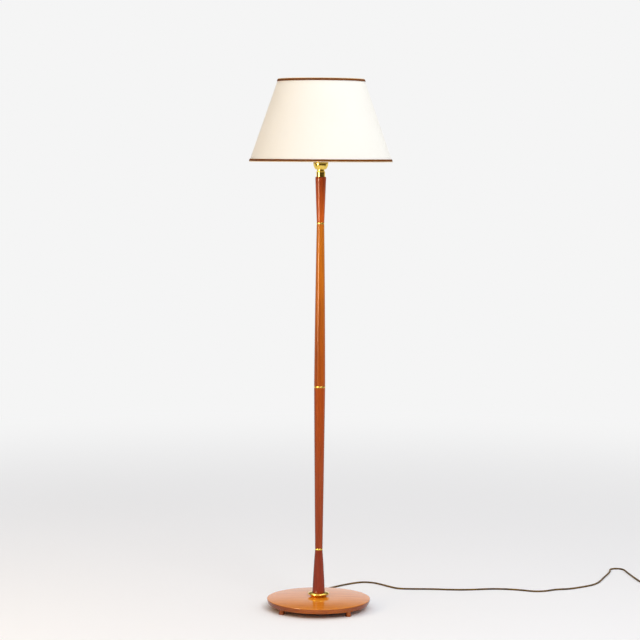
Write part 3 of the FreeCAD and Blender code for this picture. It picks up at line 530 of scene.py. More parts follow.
def clothFinish(name, colour, shadeColour, threads, slub, strength, depth, sheen, rough=0.85):
    # woven threads on the piece's own run map; threads is how many run each way in all
    material, tree, shader = startMaterial(name)
    run = put(tree, "ShaderNodeUVMap", {"uv_map": "run"}).outputs[0]
    weave = use(tree, weaveGroup, Threads=scaled(tree, run, (*threads, 1.0)), Slub=slub)
    cloud = noise(tree, objectPlace(tree), 9.0, 3.0, 0.5)
    base = mixed(tree, weave["Shade"], tint(*colour), tint(*shadeColour))
    base = mixed(tree, times(tree, ramp(tree, cloud, 0.4, 0.8), 0.12), base, tint(*shadeColour))
    setShader(tree, shader, Base_Color=base, Roughness=rough, Sheen_Weight=sheen,
              Sheen_Roughness=0.4, Normal=bumped(tree, weave["Height"], strength, depth),
              Specular_IOR_Level=0.15)
    return material


def glassFinish(name, colour):
    material, tree, shader = startMaterial(name)
    film = noise(tree, objectPlace(tree), 60.0, 4.0, 0.6)
    base = mixed(tree, times(tree, ramp(tree, film, 0.4, 0.8), 0.12), tint(*colour),
                 tint(0.86, 0.85, 0.82))
    setShader(tree, shader, Base_Color=base, Roughness=0.01, IOR=1.45, Transmission_Weight=1.0)
    return material


alongX = (0.0, math.radians(90.0), 0.0)          # turns the grain from Z to X
# the lower and foot tones are darker copies of the stem wood: painted shade lower down the stem
woodTones = {
    "top": {"dark": (0.280, 0.040, 0.004), "middle": (0.600, 0.100, 0.007),
            "light": (0.700, 0.135, 0.011)},
    "upper": {"dark": (0.300, 0.060, 0.004), "middle": (0.620, 0.165, 0.006),
              "light": (0.740, 0.235, 0.012)},
    "lower": {"dark": (0.180, 0.024, 0.002), "middle": (0.390, 0.060, 0.004),
              "light": (0.490, 0.092, 0.008)},
    "foot": {"dark": (0.120, 0.012, 0.004), "middle": (0.250, 0.028, 0.008),
             "light": (0.320, 0.046, 0.012)},
    "base": {"dark": (0.470, 0.108, 0.004), "middle": (0.710, 0.212, 0.007),
             "light": (0.790, 0.268, 0.012)},
    # a darker copy of the base wood: painted shade on the base's side and on the feet
    "edge": {"dark": (0.220, 0.036, 0.004), "middle": (0.440, 0.100, 0.010),
             "light": (0.520, 0.140, 0.016)},
}
finish = {
    # the tints paint shade: at the top the lampshade's shadow, darker towards the collar, and on
    # the upper and lower sections less light further down; the depth paints shade at each piece's
    # outline
    "topWood": woodFinish("stem top wood", **woodTones["top"], move=(0.2, 0.5, 0.1),
                          stainAndShade=(0.70, 0.55, 0.80), shadeSpan=(1.12, 1.23), depth=0.8),
    "upperWood": woodFinish("stem upper wood", **woodTones["upper"], figure=0.7,
                            stainAndShade=(0.68, 0.48, 0.80), shadeSpan=(1.05, 0.68), depth=0.8),
    "lowerWood": woodFinish("stem lower wood", **woodTones["lower"], move=(0.6, 0.2, 0.4),
                            figure=0.7, stainAndShade=(0.78, 0.70, 1.00), shadeSpan=(0.60, 0.25),
                            depth=0.8),
    "footWood": woodFinish("stem foot wood", **woodTones["foot"], move=(0.3, 0.1, 0.7),
                           figure=0.45, pores=0.35, depth=0.8),
    "baseWood": woodFinish("base wood", **woodTones["base"], turn=alongX, figure=0.5,
                           pores=0.3, dust=0.02, coat=0.92, polish=0.035, endGrain=0.85),
    # painted shade: a darker copy of the base wood for the side and the feet
    "shadedEdgeWood": woodFinish("base wood painted shade", **woodTones["edge"], turn=alongX, figure=0.5,
                           pores=0.4, dust=0.04, coat=0.6, polish=0.10, endGrain=0.85),
    "brass": metalFinish("brass", (0.90, 0.64, 0.13), (0.54, 0.30, 0.04), 0.16, lines=0.5,
                         stainAndShade=0.35),
    "steel": metalFinish("zinc plated steel", (0.60, 0.60, 0.58), (0.34, 0.33, 0.30), 0.34,
                         stainAndShade=0.5, dust=0.2),
    "nickel": metalFinish("nickel plate", (0.72, 0.69, 0.63), (0.42, 0.38, 0.32), 0.18,
                          stainAndShade=0.3),
    "iron": plasticFinish("black painted iron", (0.022, 0.021, 0.021), 0.5, bump=0.7,
                          grainScale=420.0, dust=0.35),
    "whitePaint": plasticFinish("white lacquered wire", (0.80, 0.78, 0.72), 0.32, bump=0.1),
    "china": plasticFinish("white china", (0.82, 0.80, 0.74), 0.16, fleck=0.04, bump=0.05),
    "rubber": plasticFinish("brown rubber", (0.050, 0.032, 0.020), 0.62, bump=0.4),
    "knob": plasticFinish("dark moulded knob", (0.030, 0.018, 0.012), 0.28, bump=0.08),
    "plug": plasticFinish("moulded plug", (0.085, 0.048, 0.026), 0.45, bump=0.35),
    "sheath": plasticFinish("bronze brown sheath", (0.165, 0.084, 0.008), 0.46, fleck=0.3,
                            bump=0.15, dust=0.02, gloss=0.2),
    "blackGlass": plasticFinish("black glass", (0.012, 0.012, 0.014), 0.12, bump=0.03),
    "glass": glassFinish("clear glass", (0.97, 0.98, 0.98)),
    "cloth": clothFinish("cream shade cloth", (0.895, 0.885, 0.835), (0.83, 0.80, 0.72),
                         (2100, 400), 0.10, 0.25, 0.0002, sheen=0.15),
    "lining": plasticFinish("white shade lining", (0.88, 0.86, 0.80), 0.42, fleck=0.03,
                            bump=0.05, dust=0.0),
    "band": clothFinish("brown band", (0.210, 0.060, 0.006), (0.108, 0.027, 0.003),
                        (1500, 24), 0.5, 0.5, 0.0003, sheen=0.0, rough=0.75),
    "piping": clothFinish("pale silk piping", (0.90, 0.70, 0.45), (0.60, 0.40, 0.20),
                          (3000, 16), 0.4, 0.4, 0.0003, sheen=0.3, rough=0.45),
}
print("finishes made:", len(finish))


# lead: the route behind the lamp, then the wound rest and the plug past the view's edge

lead = {
    "diameter": 0.005,
    "length": 2.45,
    "floor": 0.0025,
    "exit": (0.0, 0.150, 0.00925),
    "toFloor": [(0.0, 0.172, 0.00925), (0.002, 0.198, 0.0052)],
    "onFloor": [
        (0.010, 0.226), (0.026, 0.252), (0.048, 0.276), (0.072, 0.301), (0.100, 0.327),
        (0.132, 0.348), (0.164, 0.340), (0.188, 0.315), (0.212, 0.283), (0.236, 0.256),
        (0.276, 0.252), (0.334, 0.253), (0.396, 0.244), (0.452, 0.245), (0.506, 0.259),
        (0.556, 0.258), (0.600, 0.246), (0.636, 0.226), (0.672, 0.230), (0.706, 0.257),
        (0.746, 0.262), (0.786, 0.290), (0.826, 0.322), (0.850, 0.364), (0.870, 0.424),
        (0.891, 0.480), (0.904, 0.520), (0.9073, 0.546), (0.9117, 0.5593), (0.923, 0.5676),
        (0.937, 0.5676), (0.9483, 0.5593), (0.9527, 0.546), (0.9555, 0.515), (0.960, 0.478),
        (0.967, 0.424), (0.975, 0.372), (0.990, 0.330), (1.012, 0.302), (1.012, 0.272),
    ],
    "coilMiddle": (1.0445, 0.250),
    "coilOuter": 0.0325,        # outermost turn, at the middle of the lead
    "coilInner": 0.0225,
    "turnsDown": 2.25,          # in the lower layer, winding inwards
    "turnsUp": 2.25,            # in the upper layer, winding out again
    "upperLayer": 0.0070,
    "climbTurns": 0.6,          # turns over which it climbs between the layers
    "pointsPerTurn": 16,
    "plugLevel": 0.00685,
    "toPlug": (0.262, 0.274),   # y of the last free points before it
    "plugStart": 0.286,         # where the plug's sleeve begins
    "inPlug": 0.006,
}


def coilPoints():
    # a flat spiral: the radius falls evenly over the lower turns and rises over the upper ones,
    # while the level goes up half way; the control points stand out by 1 / cos(half a step)
    steps = int((lead["turnsDown"] + lead["turnsUp"]) * lead["pointsPerTurn"])
    share = np.linspace(0, 1, steps + 1)
    turned = share * (lead["turnsDown"] + lead["turnsUp"])
    inward = np.abs(turned / lead["turnsDown"] - 1.0)
    radius = lead["coilInner"] + (lead["coilOuter"] - lead["coilInner"]) * np.minimum(inward, 1.0)
    radius = radius / math.cos(math.pi / lead["pointsPerTurn"])
    angle = math.pi + turned * 2 * math.pi
    climb = np.clip((turned - lead["turnsDown"]) / lead["climbTurns"] + 0.5, 0.0, 1.0)
    climb = climb * climb * (3 - 2 * climb)
    z = lead["floor"] + (lead["upperLayer"] - lead["floor"]) * climb
    x = lead["coilMiddle"][0] + radius * np.cos(angle)
    y = lead["coilMiddle"][1] + radius * np.sin(angle)
    return [tuple(point) for point in np.stack([x, y, z], 1)]


def splineCurve(name, points):
    # one open NURBS line of order 3, with the points as its control points
    curve = bpy.data.curves.new(name, "CURVE")
    curve.dimensions = "3D"
    spline = curve.splines.new("NURBS")
    spline.points.add(len(points) - 1)
    for slot, point in zip(spline.points, points):
        slot.co = (*point, 1.0)
    spline.order_u = 3
    spline.use_endpoint_u = True
    spline.resolution_u = 6
    return curve


def makeLead():
    points = [lead["exit"]] + lead["toFloor"]
    points += [(x, y, lead["floor"]) for x, y in lead["onFloor"]]
    points += coilPoints()
    outX = lead["coilMiddle"][0] + lead["coilOuter"]
    for y in (*lead["toPlug"], lead["plugStart"] + lead["inPlug"]):
        points.append((outX, y, lead["plugLevel"]))
    curve = splineCurve("lead", points)
    curve.bevel_depth = lead["diameter"] / 2
    curve.bevel_resolution = 5
    curve.use_fill_caps = True
    piece = bpy.data.objects.new("lead_cord", curve)
    scene.collection.objects.link(piece)
    curve.materials.append(finish["sheath"])
    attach(piece, "stand")
    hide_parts("lead", "lead_coil")
    return piece


leadPiece = makeLead()


# tapered sleeve where the lead leaves the base

sleeve = {
    "start": 0.114,
    "length": 0.036,
    "gripLength": 0.016,
    "grip": 0.00475,
    "tip": 0.0033,
    "bore": 0.0026,
    "ribs": 6,
    "ribDepth": 0.0006,
}


def makeSleeve():
    # the radius falls evenly from grip to tip past the straight grip, and rounded grooves are
    # cut into the taper, as sin squared
    s = np.linspace(0, sleeve["length"], 145)
    share = np.clip((s - sleeve["gripLength"]) / (sleeve["length"] - sleeve["gripLength"]), 0, 1)
    radius = sleeve["grip"] + (sleeve["tip"] - sleeve["grip"]) * share
    groove = np.sin(share * sleeve["ribs"] * math.pi) ** 8 * sleeve["ribDepth"]
    radius = radius - groove * (share > 0) * (share < 0.98)
    line = [(sleeve["bore"], 0.0), *zip(radius, s), (sleeve["bore"], sleeve["length"])]
    mesh = turnedMesh("sleeve", np.array(line), 48)
    toBack = Matrix.Rotation(math.radians(-90), 4, "X")
    movedMesh(mesh, y=sleeve["start"], z=lead["exit"][2], turn=toBack)
    return addPiece("lead_sleeve", mesh, "stand", finish["rubber"], ["lead_relief"])


sleevePiece = makeSleeve()


# plug

plug = {
    "rearHalf": 0.0075,
    "frontHalf": 0.01765,
    "thick": 0.0137,
    "sleeveLength": 0.015,
    "sleeveRoot": 0.0048,
    "sleeveTip": 0.0033,
    "bodyLength": 0.022,
    "shoulder": 0.018,
    "rounding": 0.0018,
    "ribs": 5,
    "ribDepth": 0.00045,
    "squareness": 6.0,          # the body's exponent n; 2 is round
}


def makePlug():
    # sections along the plug are |x / half|^n + |z / half|^n = 1, with n 2 along the round
    # sleeve and larger along the body
    t = np.linspace(0, 1, 40)
    sleeveY = t * plug["sleeveLength"]
    ribbing = plug["ribDepth"] * np.sin(t * plug["ribs"] * math.pi) ** 2
    sleeveR = plug["sleeveTip"] + (plug["sleeveRoot"] - plug["sleeveTip"]) * t - ribbing
    bodyShare = np.concatenate([np.linspace(0, 0.1, 8), np.linspace(0.14, 0.92, 26),
                                np.linspace(0.94, 1.0, 8)])
    bodyY = plug["sleeveLength"] + bodyShare * plug["bodyLength"]
    reach = bodyShare * plug["bodyLength"]
    widen = np.clip(reach / plug["shoulder"], 0, 1)
    half = plug["rearHalf"] + (plug["frontHalf"] - plug["rearHalf"]) * np.sin(widen * math.pi / 2)
    thick = np.full(len(reach), plug["thick"] / 2)
    endGap = np.minimum(reach, plug["bodyLength"] - reach)
    inset = plug["rounding"] - np.sqrt(np.maximum(
        plug["rounding"] ** 2 - np.maximum(plug["rounding"] - endGap, 0) ** 2, 0))
    half, thick = half - inset, thick - inset
    y = np.concatenate([sleeveY, bodyY])
    a = np.concatenate([sleeveR, half])
    b = np.concatenate([sleeveR, thick])
    power = np.concatenate([np.full(len(t), 2.0), np.full(len(reach), plug["squareness"])])
    angle = anglesRound(72)
    c, s = np.cos(angle), np.sin(angle)
    power = power[:, None]
    scale = (np.abs(c) ** power + np.abs(s) ** power) ** (-1 / power)
    grid = np.stack([a[:, None] * c * scale, y[:, None] + 0 * c, b[:, None] * s * scale], 2)
    mesh = meshFromGrid("plug", grid, capStart=True, capEnd=True)
    movedMesh(mesh, lead["coilMiddle"][0] + lead["coilOuter"], lead["plugStart"],
              lead["plugLevel"])
    return addPiece("plug_shell", mesh, "stand", finish["plug"], ["plug_body"])


plugPiece = makePlug()
print("lead, sleeve and plug made")


# base and feet

base = {
    "rim": 0.147,
    "bottomRim": 0.142,
    "sideHeight": 0.015,
    "sideBelly": 0.0009,
    "seat": 0.022,
    "domeShare": 0.78,          # rise of the dome half way in, of its whole rise
    "arrisRound": 0.0015,
    "bottomRound": 0.0010,
    "recess": 0.10075,
    "tubeHole": 0.0054,
}


def makeBase():
    zLow, zHigh = levels("base_disc")
    zArris = zLow + base["sideHeight"]
    zRecess = levels("base_weight")[1]
    sideMiddle = ((base["rim"] + base["bottomRim"]) / 2 + base["sideBelly"], (zLow + zArris) / 2)
    domeMiddle = ((base["rim"] + base["seat"]) / 2, zArris + (zHigh - zArris) * base["domeShare"])
    line = outlineOf([
        (base["tubeHole"], zRecess), (base["recess"], zRecess, 0.0006),
        (base["recess"], zLow, 0.0006), (base["bottomRim"], zLow, base["bottomRound"], sideMiddle),
        (base["rim"], zArris, base["arrisRound"], domeMiddle), (base["seat"], zHigh),
        (base["tubeHole"], zHigh),
    ], arcSteps=40)
    mesh = turnedMesh("base", line, 256)
    addPiece("base_turned", mesh, "stand", finish["baseWood"], ["base_disc"])
    # the side below the arris takes the darker copy of the base wood: painted shade
    mesh.materials.append(finish["shadedEdgeWood"])
    middles = np.empty(len(mesh.polygons) * 3)
    mesh.polygons.foreach_get("center", middles)
    onSide = middles.reshape(-1, 3)[:, 2] < zArris - base["arrisRound"]
    mesh.polygons.foreach_set("material_index", onSide.astype(np.int32))


foot = {
    "bottom": 0.0088,
    "waist": 0.0080,
    "top": 0.0084,
    "circle": 0.133,
    "firstAngle": -51.0,
    "edgeRound": 0.0009,
}


def makeFeet():
    for index in range(4):
        node = "foot_%d" % (index + 1)
        height = levels("base_disc")[0]
        line = outlineOf([
            (0.0, 0.0), (foot["bottom"], 0.0, foot["edgeRound"], (foot["waist"], height / 2)),
            (foot["top"], height), (0.0, height),
        ], closed=False)
        angle = math.radians(foot["firstAngle"] + 90.0 * index)
        mesh = movedMesh(turnedMesh(node, line, 64), foot["circle"] * math.cos(angle),
                         foot["circle"] * math.sin(angle))
        # the feet take the darker copy of the base wood: painted shade
        addPiece(node + "_turned", mesh, "stand", finish["shadedEdgeWood"], [node])


makeBase()
makeFeet()
print("base and feet made")


# flange and stem

flange = {"widest": 0.0303, "belowTop": 0.005, "lip": 0.0291, "lipDrop": 0.0022,
          "cove": 0.0245, "footRise": 0.0032, "swell": 0.0243, "swellDrop": 0.0010,
          "seat": 0.0215, "hole": 0.0054, "topSeat": 0.0188}


def makeFlange():
    zLow, zHigh = levels("base_flange")
    zWide = zHigh - flange["belowTop"]
    cove = (flange["cove"], zLow + flange["footRise"])
    swell = (flange["swell"], zHigh - flange["swellDrop"])
    line = outlineOf([
        (flange["hole"], zLow), (flange["seat"], zLow, 0.0005, cove),
        (flange["lip"], zWide - flange["lipDrop"], 0.0004, (flange["widest"], zWide)),
        (flange["lip"], zWide + flange["lipDrop"], 0.0004, swell),
        (flange["topSeat"], zHigh), (flange["hole"], zHigh),
    ], arcSteps=14)
    mesh = turnedMesh("flange", line, 128)
    addPiece("flange_turned", mesh, "stand", finish["brass"], ["base_flange"])


stem = {
    "hole": 0.0054,
    "narrow": 0.0106,
    "middle": 0.0157,
    "footBottom": 0.0185,
    "footWaist": 0.0173,
    "footMiddle": 0.0145,
    "footFlare": 0.0035,
    "lowerMiddle": 0.01335,
    "upperMiddle": 0.0138,
    "topMiddle": 0.01295,
    "top": 0.0152,
    "topShoulder": 0.004,
    "topSeat": 0.0125,
    "endRound": 0.0007,         # softened end edges, which show as a dark line at each ring
    "segments": 96,
    "ringProud": 0.0005,        # the rings stand out past the wood
    "ringSeat": 0.0002,         # and end this far inside its face
    "ringSlope": 0.0011,
}


def makeStem():
    hole, narrow, wide = stem["hole"], stem["narrow"], stem["middle"]
    ends = stem["endRound"]
    zStem = levels("base_flange")[1]
    ringLow, ringMid, ringHigh = (levels("ring_" + k) for k in ("lower", "middle", "upper"))
    zCollar = levels("collar")[0]
    waist = zStem + stem["footFlare"]
    shoulder = zCollar - stem["topShoulder"]
    outlines = {
        "stem_foot": [
            (hole, zStem), (stem["footBottom"], zStem, 0.0005, (0.0179, zStem + 0.0015)),
            (stem["footWaist"], waist, 0.0, (stem["footMiddle"], (waist + ringLow[0]) / 2)),
            (narrow, ringLow[0], ends), (hole, ringLow[0])],
        "stem_lower": [
            (hole, ringLow[1]),
            (narrow, ringLow[1], ends, (stem["lowerMiddle"], (ringLow[1] + ringMid[0]) / 2)),
            (wide, ringMid[0], ends), (hole, ringMid[0])],
        "stem_upper": [
            (hole, ringMid[1]),
            (wide, ringMid[1], ends, (stem["upperMiddle"], (ringMid[1] + ringHigh[0]) / 2)),
            (narrow, ringHigh[0], ends), (hole, ringHigh[0])],
        "stem_top": [
            (hole, ringHigh[1]),
            (narrow, ringHigh[1], ends, (stem["topMiddle"], (ringHigh[1] + shoulder) / 2)),
            (stem["top"], shoulder, 0.0006, (0.0146, zCollar - 0.0011)),
            (stem["topSeat"], zCollar), (hole, zCollar)],
    }
    for node, corners in outlines.items():
        line = outlineOf(corners, arcSteps=36)
        wood = finish[node.replace("stem_", "") + "Wood"]
        mesh = turnedMesh(node, line, stem["segments"])
        addPiece(node + "_turned", mesh, "stand", wood, [node])


def makeRings():
    for name, radius in (("lower", stem["narrow"]), ("middle", stem["middle"]),
                         ("upper", stem["narrow"])):
        node = "ring_" + name
        low, high = levels(node)
        seat, rim, slope = radius - stem["ringSeat"], radius + stem["ringProud"], stem["ringSlope"]
        line = outlineOf([
            (stem["hole"], low), (seat, low, 0.0004), (rim, low + slope, 0.0006),
            (rim, high - slope, 0.0006), (seat, high, 0.0004), (stem["hole"], high),
        ])
        mesh = turnedMesh(node, line, stem["segments"])
        addPiece(node + "_turned", mesh, "stand", finish["brass"], [node])


makeFlange()
makeStem()
makeRings()
print("flange, stem and rings made")


# collar, neck and lampholder

holder = {
    "hole": 0.0051,
    "collar": 0.0125,
    "collarShoulder": 0.0025,
    "neck": 0.0104,
    "bead": 0.0113,
    "beadHeight": 0.0016,
    "capLow": 0.0158,
    "cap": 0.021,
    "bellHeight": 0.0185,
    "wall": 0.001,
    "shell": 0.0197,
    "threadPitch": 0.0022,
    "threadDepth": 0.0004,
    "threadFade": 0.0012,
    "foot": 0.0014,             # the bell's foot is this much narrower than capLow
    "belly": 0.0011,            # its flank stands out this far from a straight line
    "bellyShare": 0.42,
    "rolledEdge": 0.0018,
}


def makeCollar():
    low, high = levels("collar")
    r, shoulder = holder["collar"], holder["collarShoulder"]
    line = outlineOf([
        (holder["hole"], low), (r, low, 0.0004),
        (r, high - shoulder, 0.0004, (r - shoulder * 0.25, high - shoulder * 0.25)),
        (r - shoulder * 0.8, high, 0.0003), (holder["hole"], high),
    ], arcSteps=10)
    addPiece("collar_turned", turnedMesh("collar", line, 96), "stand", finish["brass"],
             ["collar"])
    low, high = levels("neck_nut")
    beadTop = low + holder["beadHeight"]
    line = outlineOf([
        (holder["hole"], low), (holder["neck"], low, 0.0, (holder["bead"], (low + beadTop) / 2)),
        (holder["neck"], beadTop), (holder["neck"], high), (holder["hole"], high),
    ], arcSteps=10)
    addPiece("neck_turned", turnedMesh("neck", line, 96), "stand", finish["brass"],
             ["neck_nut"])


def makeHolder():
    low, high = levels("holder_cap")
    wall, wide = holder["wall"], holder["cap"]
    bell = low + holder["bellHeight"]
    belly = (holder["capLow"] + wide) / 2 + holder["belly"]
    zBelly = low + holder["bellHeight"] * holder["bellyShare"]
    line = outlineOf([
        (holder["hole"], low), (holder["capLow"] - holder["foot"], low, 0.0004),
        (holder["capLow"], low + 0.0016, 0.0005, (belly, zBelly)),
        (wide, bell), (wide, high - holder["rolledEdge"], 0.0003), (wide, high, 0.0004),
        (wide - wall, high, 0.0003), (wide - wall, bell, 0.0, (belly - wall, zBelly + 0.0003)),
        (holder["capLow"] - wall, low + 0.0022), (holder["hole"], low + wall),
    ], arcSteps=20)
    addPiece("holder_bell", turnedMesh("cap", line, 128), "stand", finish["brass"],
             ["holder_cap"])
    makeThreadedShell()


def makeThreadedShell():
    # the shell's outside is a screw thread: its radius swings once per pitch of height and once
    # round the axis, as a cosine
    low, high = levels("holder_shell")
    pitch, depth = holder["threadPitch"], holder["threadDepth"]
    z = np.linspace(low, high, int((high - low) / pitch * 10))[:, None]
    angle = anglesRound(96)
    fade = np.clip(np.minimum(z - low, high - z) / holder["threadFade"], 0, 1)
    radius = holder["shell"] - depth * fade * (0.5 - 0.5 * np.cos(2 * math.pi * z / pitch - angle))
    outer = ringGrid(radius, z, angle)
    inner = ringGrid(holder["shell"] - holder["wall"], z[[-1, 0]], angle)
    mesh = meshFromGrid("shell", np.concatenate([outer, inner]), wrapRows=True)
    addPiece("holder_thread", mesh, "stand", finish["brass"], ["holder_shell"])


knob = {"radius": 0.00475, "length": 0.014, "ribs": 24, "ribDepth": 0.00035,
        "rounding": 0.0012, "rearRounding": 0.0004}


def makeKnob():
    # a fluted cap: the radius dips once per rib as a squared sine, fading out at both ends
    low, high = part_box("switch_knob")
    level = (low.z + high.z) / 2
    s = np.concatenate([np.linspace(0, 0.0012, 6), np.linspace(0.0018, 0.0120, 24)])
    edge = np.linspace(0, math.pi / 2, 8)
    s = np.concatenate([s, knob["length"] - knob["rounding"] * (1 - np.sin(edge))])
    r = np.full(len(s), knob["radius"])
    r[:6] = knob["radius"] - knob["rearRounding"] * (1 - np.linspace(0, 1, 6) ** 0.5)
    r[-8:] = knob["radius"] - knob["rounding"] * (1 - np.cos(edge))
    angle = anglesRound(144)
    fade = np.clip(np.minimum(s - 0.001, knob["length"] - 0.002 - s) / 0.001, 0, 1)[:, None]
    radius = r[:, None] - knob["ribDepth"] * fade * np.sin(angle * knob["ribs"] / 2) ** 2
    mesh = meshFromGrid("knob", ringGrid(radius, s[:, None], angle), capStart=True, capEnd=True)
    movedMesh(mesh, y=low.y, z=level, turn=Matrix.Rotation(math.radians(-90), 4, "X"))
    addPiece("knob_fluted", mesh, "switch", finish["knob"], ["switch_knob"])


makeCollar()
makeHolder()
makeKnob()
print("collar, lampholder and knob made")


# shade

shade = {
    "bottom": 0.2008,           # radius of the bands' outer edge
    "top": 0.1227,
    "rim": 1.2686,
    "height": 0.2314,
    "cover": 0.0012,
    "band": 0.0014,
    "bandWidth": 0.0041,
    "bandInner": 0.0024,
    "piping": 0.0024,
    "wire": 0.0032,
    "gap": 0.0001,
    "seamWidth": 0.009,         # overlap of the cloth at the back
    "seamRadius": 0.16,         # at which that width is measured
    "seamStep": 0.0004,
    "twist": 0.0062,            # length of one full twist of the piping
    "segments": 288,
}
edgeDrop = shade["piping"] + shade["band"]
coverRise = shade["height"] - 2 * edgeDrop
rLow = shade["bottom"] - shade["band"]
rHigh = shade["top"] - shade["band"]
lean = math.atan2(rLow - rHigh, coverRise)
slant = coverRise / math.cos(lean)
zLow = shade["rim"] + edgeDrop


def onCone(s, n):
    # s up the slope from the cover's lower outer edge, n outwards from its face
    return (rLow - s * math.sin(lean) + n * math.cos(lean),
            zLow + s * math.cos(lean) + n * math.sin(lean))


def makeCover():
    # a cone's wall: outer face, top edge, inner face and bottom edge in one closed outline; the
    # outer face steps out over the width of the glued seam
    rows = 40
    cover, seam = shade["cover"], shade["seamWidth"]
    s = np.linspace(0, slant, rows)
    outer = np.array([onCone(x, 0.0) for x in s])
    inner = np.array([onCone(x, -cover) for x in s[::-1]])
    line = np.vstack([outer, inner])
    angle = np.arange(shade["segments"]) * 2 * math.pi / shade["segments"] + math.pi / 2
    fineSeam = np.array([-0.6, -0.5, -0.45, 0.45, 0.5, 0.6]) * seam / shade["seamRadius"]
    angle = np.sort(np.concatenate([angle[1:], fineSeam + math.pi / 2]))
    r, z = line[:, :1], line[:, 1:]
    fromSeam = np.abs((angle - math.pi / 2 + math.pi) % (2 * math.pi) - math.pi)
    step = np.clip((seam * 0.56 - fromSeam * shade["seamRadius"]) / (seam * 0.10), 0, 1)
    outward = np.concatenate([np.ones(rows), np.zeros(rows)])[:, None] * shade["seamStep"] * step
    grid = ringGrid(r + outward * math.cos(lean), z + outward * math.sin(lean), angle)
    mesh = meshFromGrid("cover", grid, wrapRows=True)
    piece = addPiece("shade_cloth", mesh, "shade", finish["cloth"],
                     ["shade_cover"], sharp=30.0)
    mesh.materials.append(finish["lining"])
    rowOf = np.arange(len(mesh.polygons)) // len(angle)
    kind = ((rowOf >= rows) & (rowOf < 2 * rows - 1)).astype(np.int32)
    mesh.polygons.foreach_set("material_index", kind)
    return piece


def makeBand(name, flip):
    # the band lies on the cloth, folds over its edge and ends inside under the wire
    outer = shade["band"] + shade["gap"]
    inner = shade["cover"] + shade["wire"] + 2 * shade["gap"]
    under = -shade["band"]
    path = [(under, outer, 0.0004), (shade["bandWidth"], outer, 0.0003),
            (shade["bandWidth"], shade["gap"]), (-shade["gap"], shade["gap"]),
            (-shade["gap"], -inner), (shade["bandInner"], -inner),
            (shade["bandInner"], -inner - shade["band"], 0.0003),
            (under, -inner - shade["band"], 0.0004)]
    corners = []
    for s, n, *rest in path:
        along = slant - s if flip else s
        corners.append((*onCone(along, n), *rest))
    mesh = turnedMesh(name, outlineOf(corners, roundSteps=4), shade["segments"])
    return addPiece(name + "_ribbon", mesh, "shade", finish["band"], [name])


def makePiping(name, s):
    # two strands wound round each other along a circle: the section's radius swings twice round
    # it, and the section turns once per twist
    r, z = onCone(s, 0.0)
    twists = round(2 * math.pi * r / shade["twist"])
    steps = twists * 14
    t = np.arange(steps)[:, None] / steps
    around = t * 2 * math.pi
    section = np.arange(14) * 2 * math.pi / 14
    swing = np.abs(np.cos(section - around * twists))
    radius = shade["piping"] / 2 * (0.62 + 0.38 * swing ** 1.4)
    reach = r + radius * np.cos(section)
    grid = np.stack([reach * np.cos(around), reach * np.sin(around),
                     z + radius * np.sin(section) + 0 * around], 2)
    mesh = meshFromGrid(name, grid, wrapRows=True)
    return addPiece(name + "_cord", mesh, "shade", finish["piping"], [name],
                    sharp=0)


coverPiece = makeCover()
pipingShift = -shade["band"] - shade["piping"] / 2
edging = [
    makeBand("trim_bottom", False), makeBand("trim_top", True),
    makePiping("piping_bottom", pipingShift), makePiping("piping_top", slant - pipingShift),
]
print("shade made, slant", round(slant, 4))


# bulb

bulb = {"radius": 0.030, "length": 0.105, "neck": 0.0125, "wall": 0.0008, "inCap": 0.016}


def makeBulbGlass():
    # the outline runs up the neck, swells to the ball and closes over the crown; the inside is
    # the same line a wall further in
    capTop = levels("bulb_cap")[1]
    start = levels("bulb_contact")[0]
    zBall = start + bulb["length"] - bulb["radius"]
    swell = zBall - capTop
    knots = np.array([(0.0, 0.0), (0.12, 0.034), (0.30, 0.20), (0.48, 0.45), (0.73, 0.87),
                      (0.88, 0.97), (1.0, 1.0)])
    s = np.linspace(0, 1, 26)
    flank = np.interp(s, knots[:, 0], knots[:, 1])
    kernel = np.array([0.25, 0.5, 0.25])
    for repeat in range(3):
        flank[1:-1] = np.convolve(flank, kernel, "same")[1:-1]
    crown = np.linspace(0, math.pi / 2, 22)[1:-1]

    def shell(inset):
        neck, ball = bulb["neck"] - inset, bulb["radius"] - inset
        side = np.stack([neck + (ball - neck) * flank, capTop + swell * s], 1)
        dome = np.stack([ball * np.cos(crown), zBall + ball * np.sin(crown)], 1)
        return [(neck, capTop - bulb["inCap"]), *side, *dome]

    line = np.vstack([shell(0.0)[::-1], shell(bulb["wall"])])
    grid = ringGrid(line[:, :1], line[:, 1:], anglesRound(96))
    mesh = meshFromGrid("glass", grid, capStart=True, capEnd=True)
    addPiece("bulb_envelope", mesh, "bulb", finish["glass"], ["bulb_glass"], sharp=0)


makeBulbGlass()
print("bulb made")


# finishes of the carried-over nodes

kept = {
    "steel": ["tube_washer", "tube_nut", "tube_lower", "tube_upper", "tube_coupler",
              "weight_screws", "lead_cleat", "cleat_screws", "bulb_filament"],
    "iron": ["base_weight"],
    "brass": ["centre_contact", "terminal_screws", "clamp_ring_lower", "clamp_ring_upper",
              "switch_spindle"],
    "china": ["holder_core", "insulating_ring"],
    "nickel": ["holder_sleeve", "plug_pins", "bulb_contact", "bulb_cap"],
    "blackGlass": ["bulb_insulator"],
    "glass": ["bulb_mount"],
    "sheath": ["core_wires", "inner_flex"],
    "whitePaint": ["shade_fitter", "shade_spoke_1", "shade_spoke_2", "shade_spoke_3",
                   "wire_bottom", "wire_top"],
}
for name, members in kept.items():
    for member in members:
        mesh = nodes[member].data
        mesh.materials.clear()
        mesh.materials.append(finish[name])
print("carried-over nodes finished")


# floor, room and lights

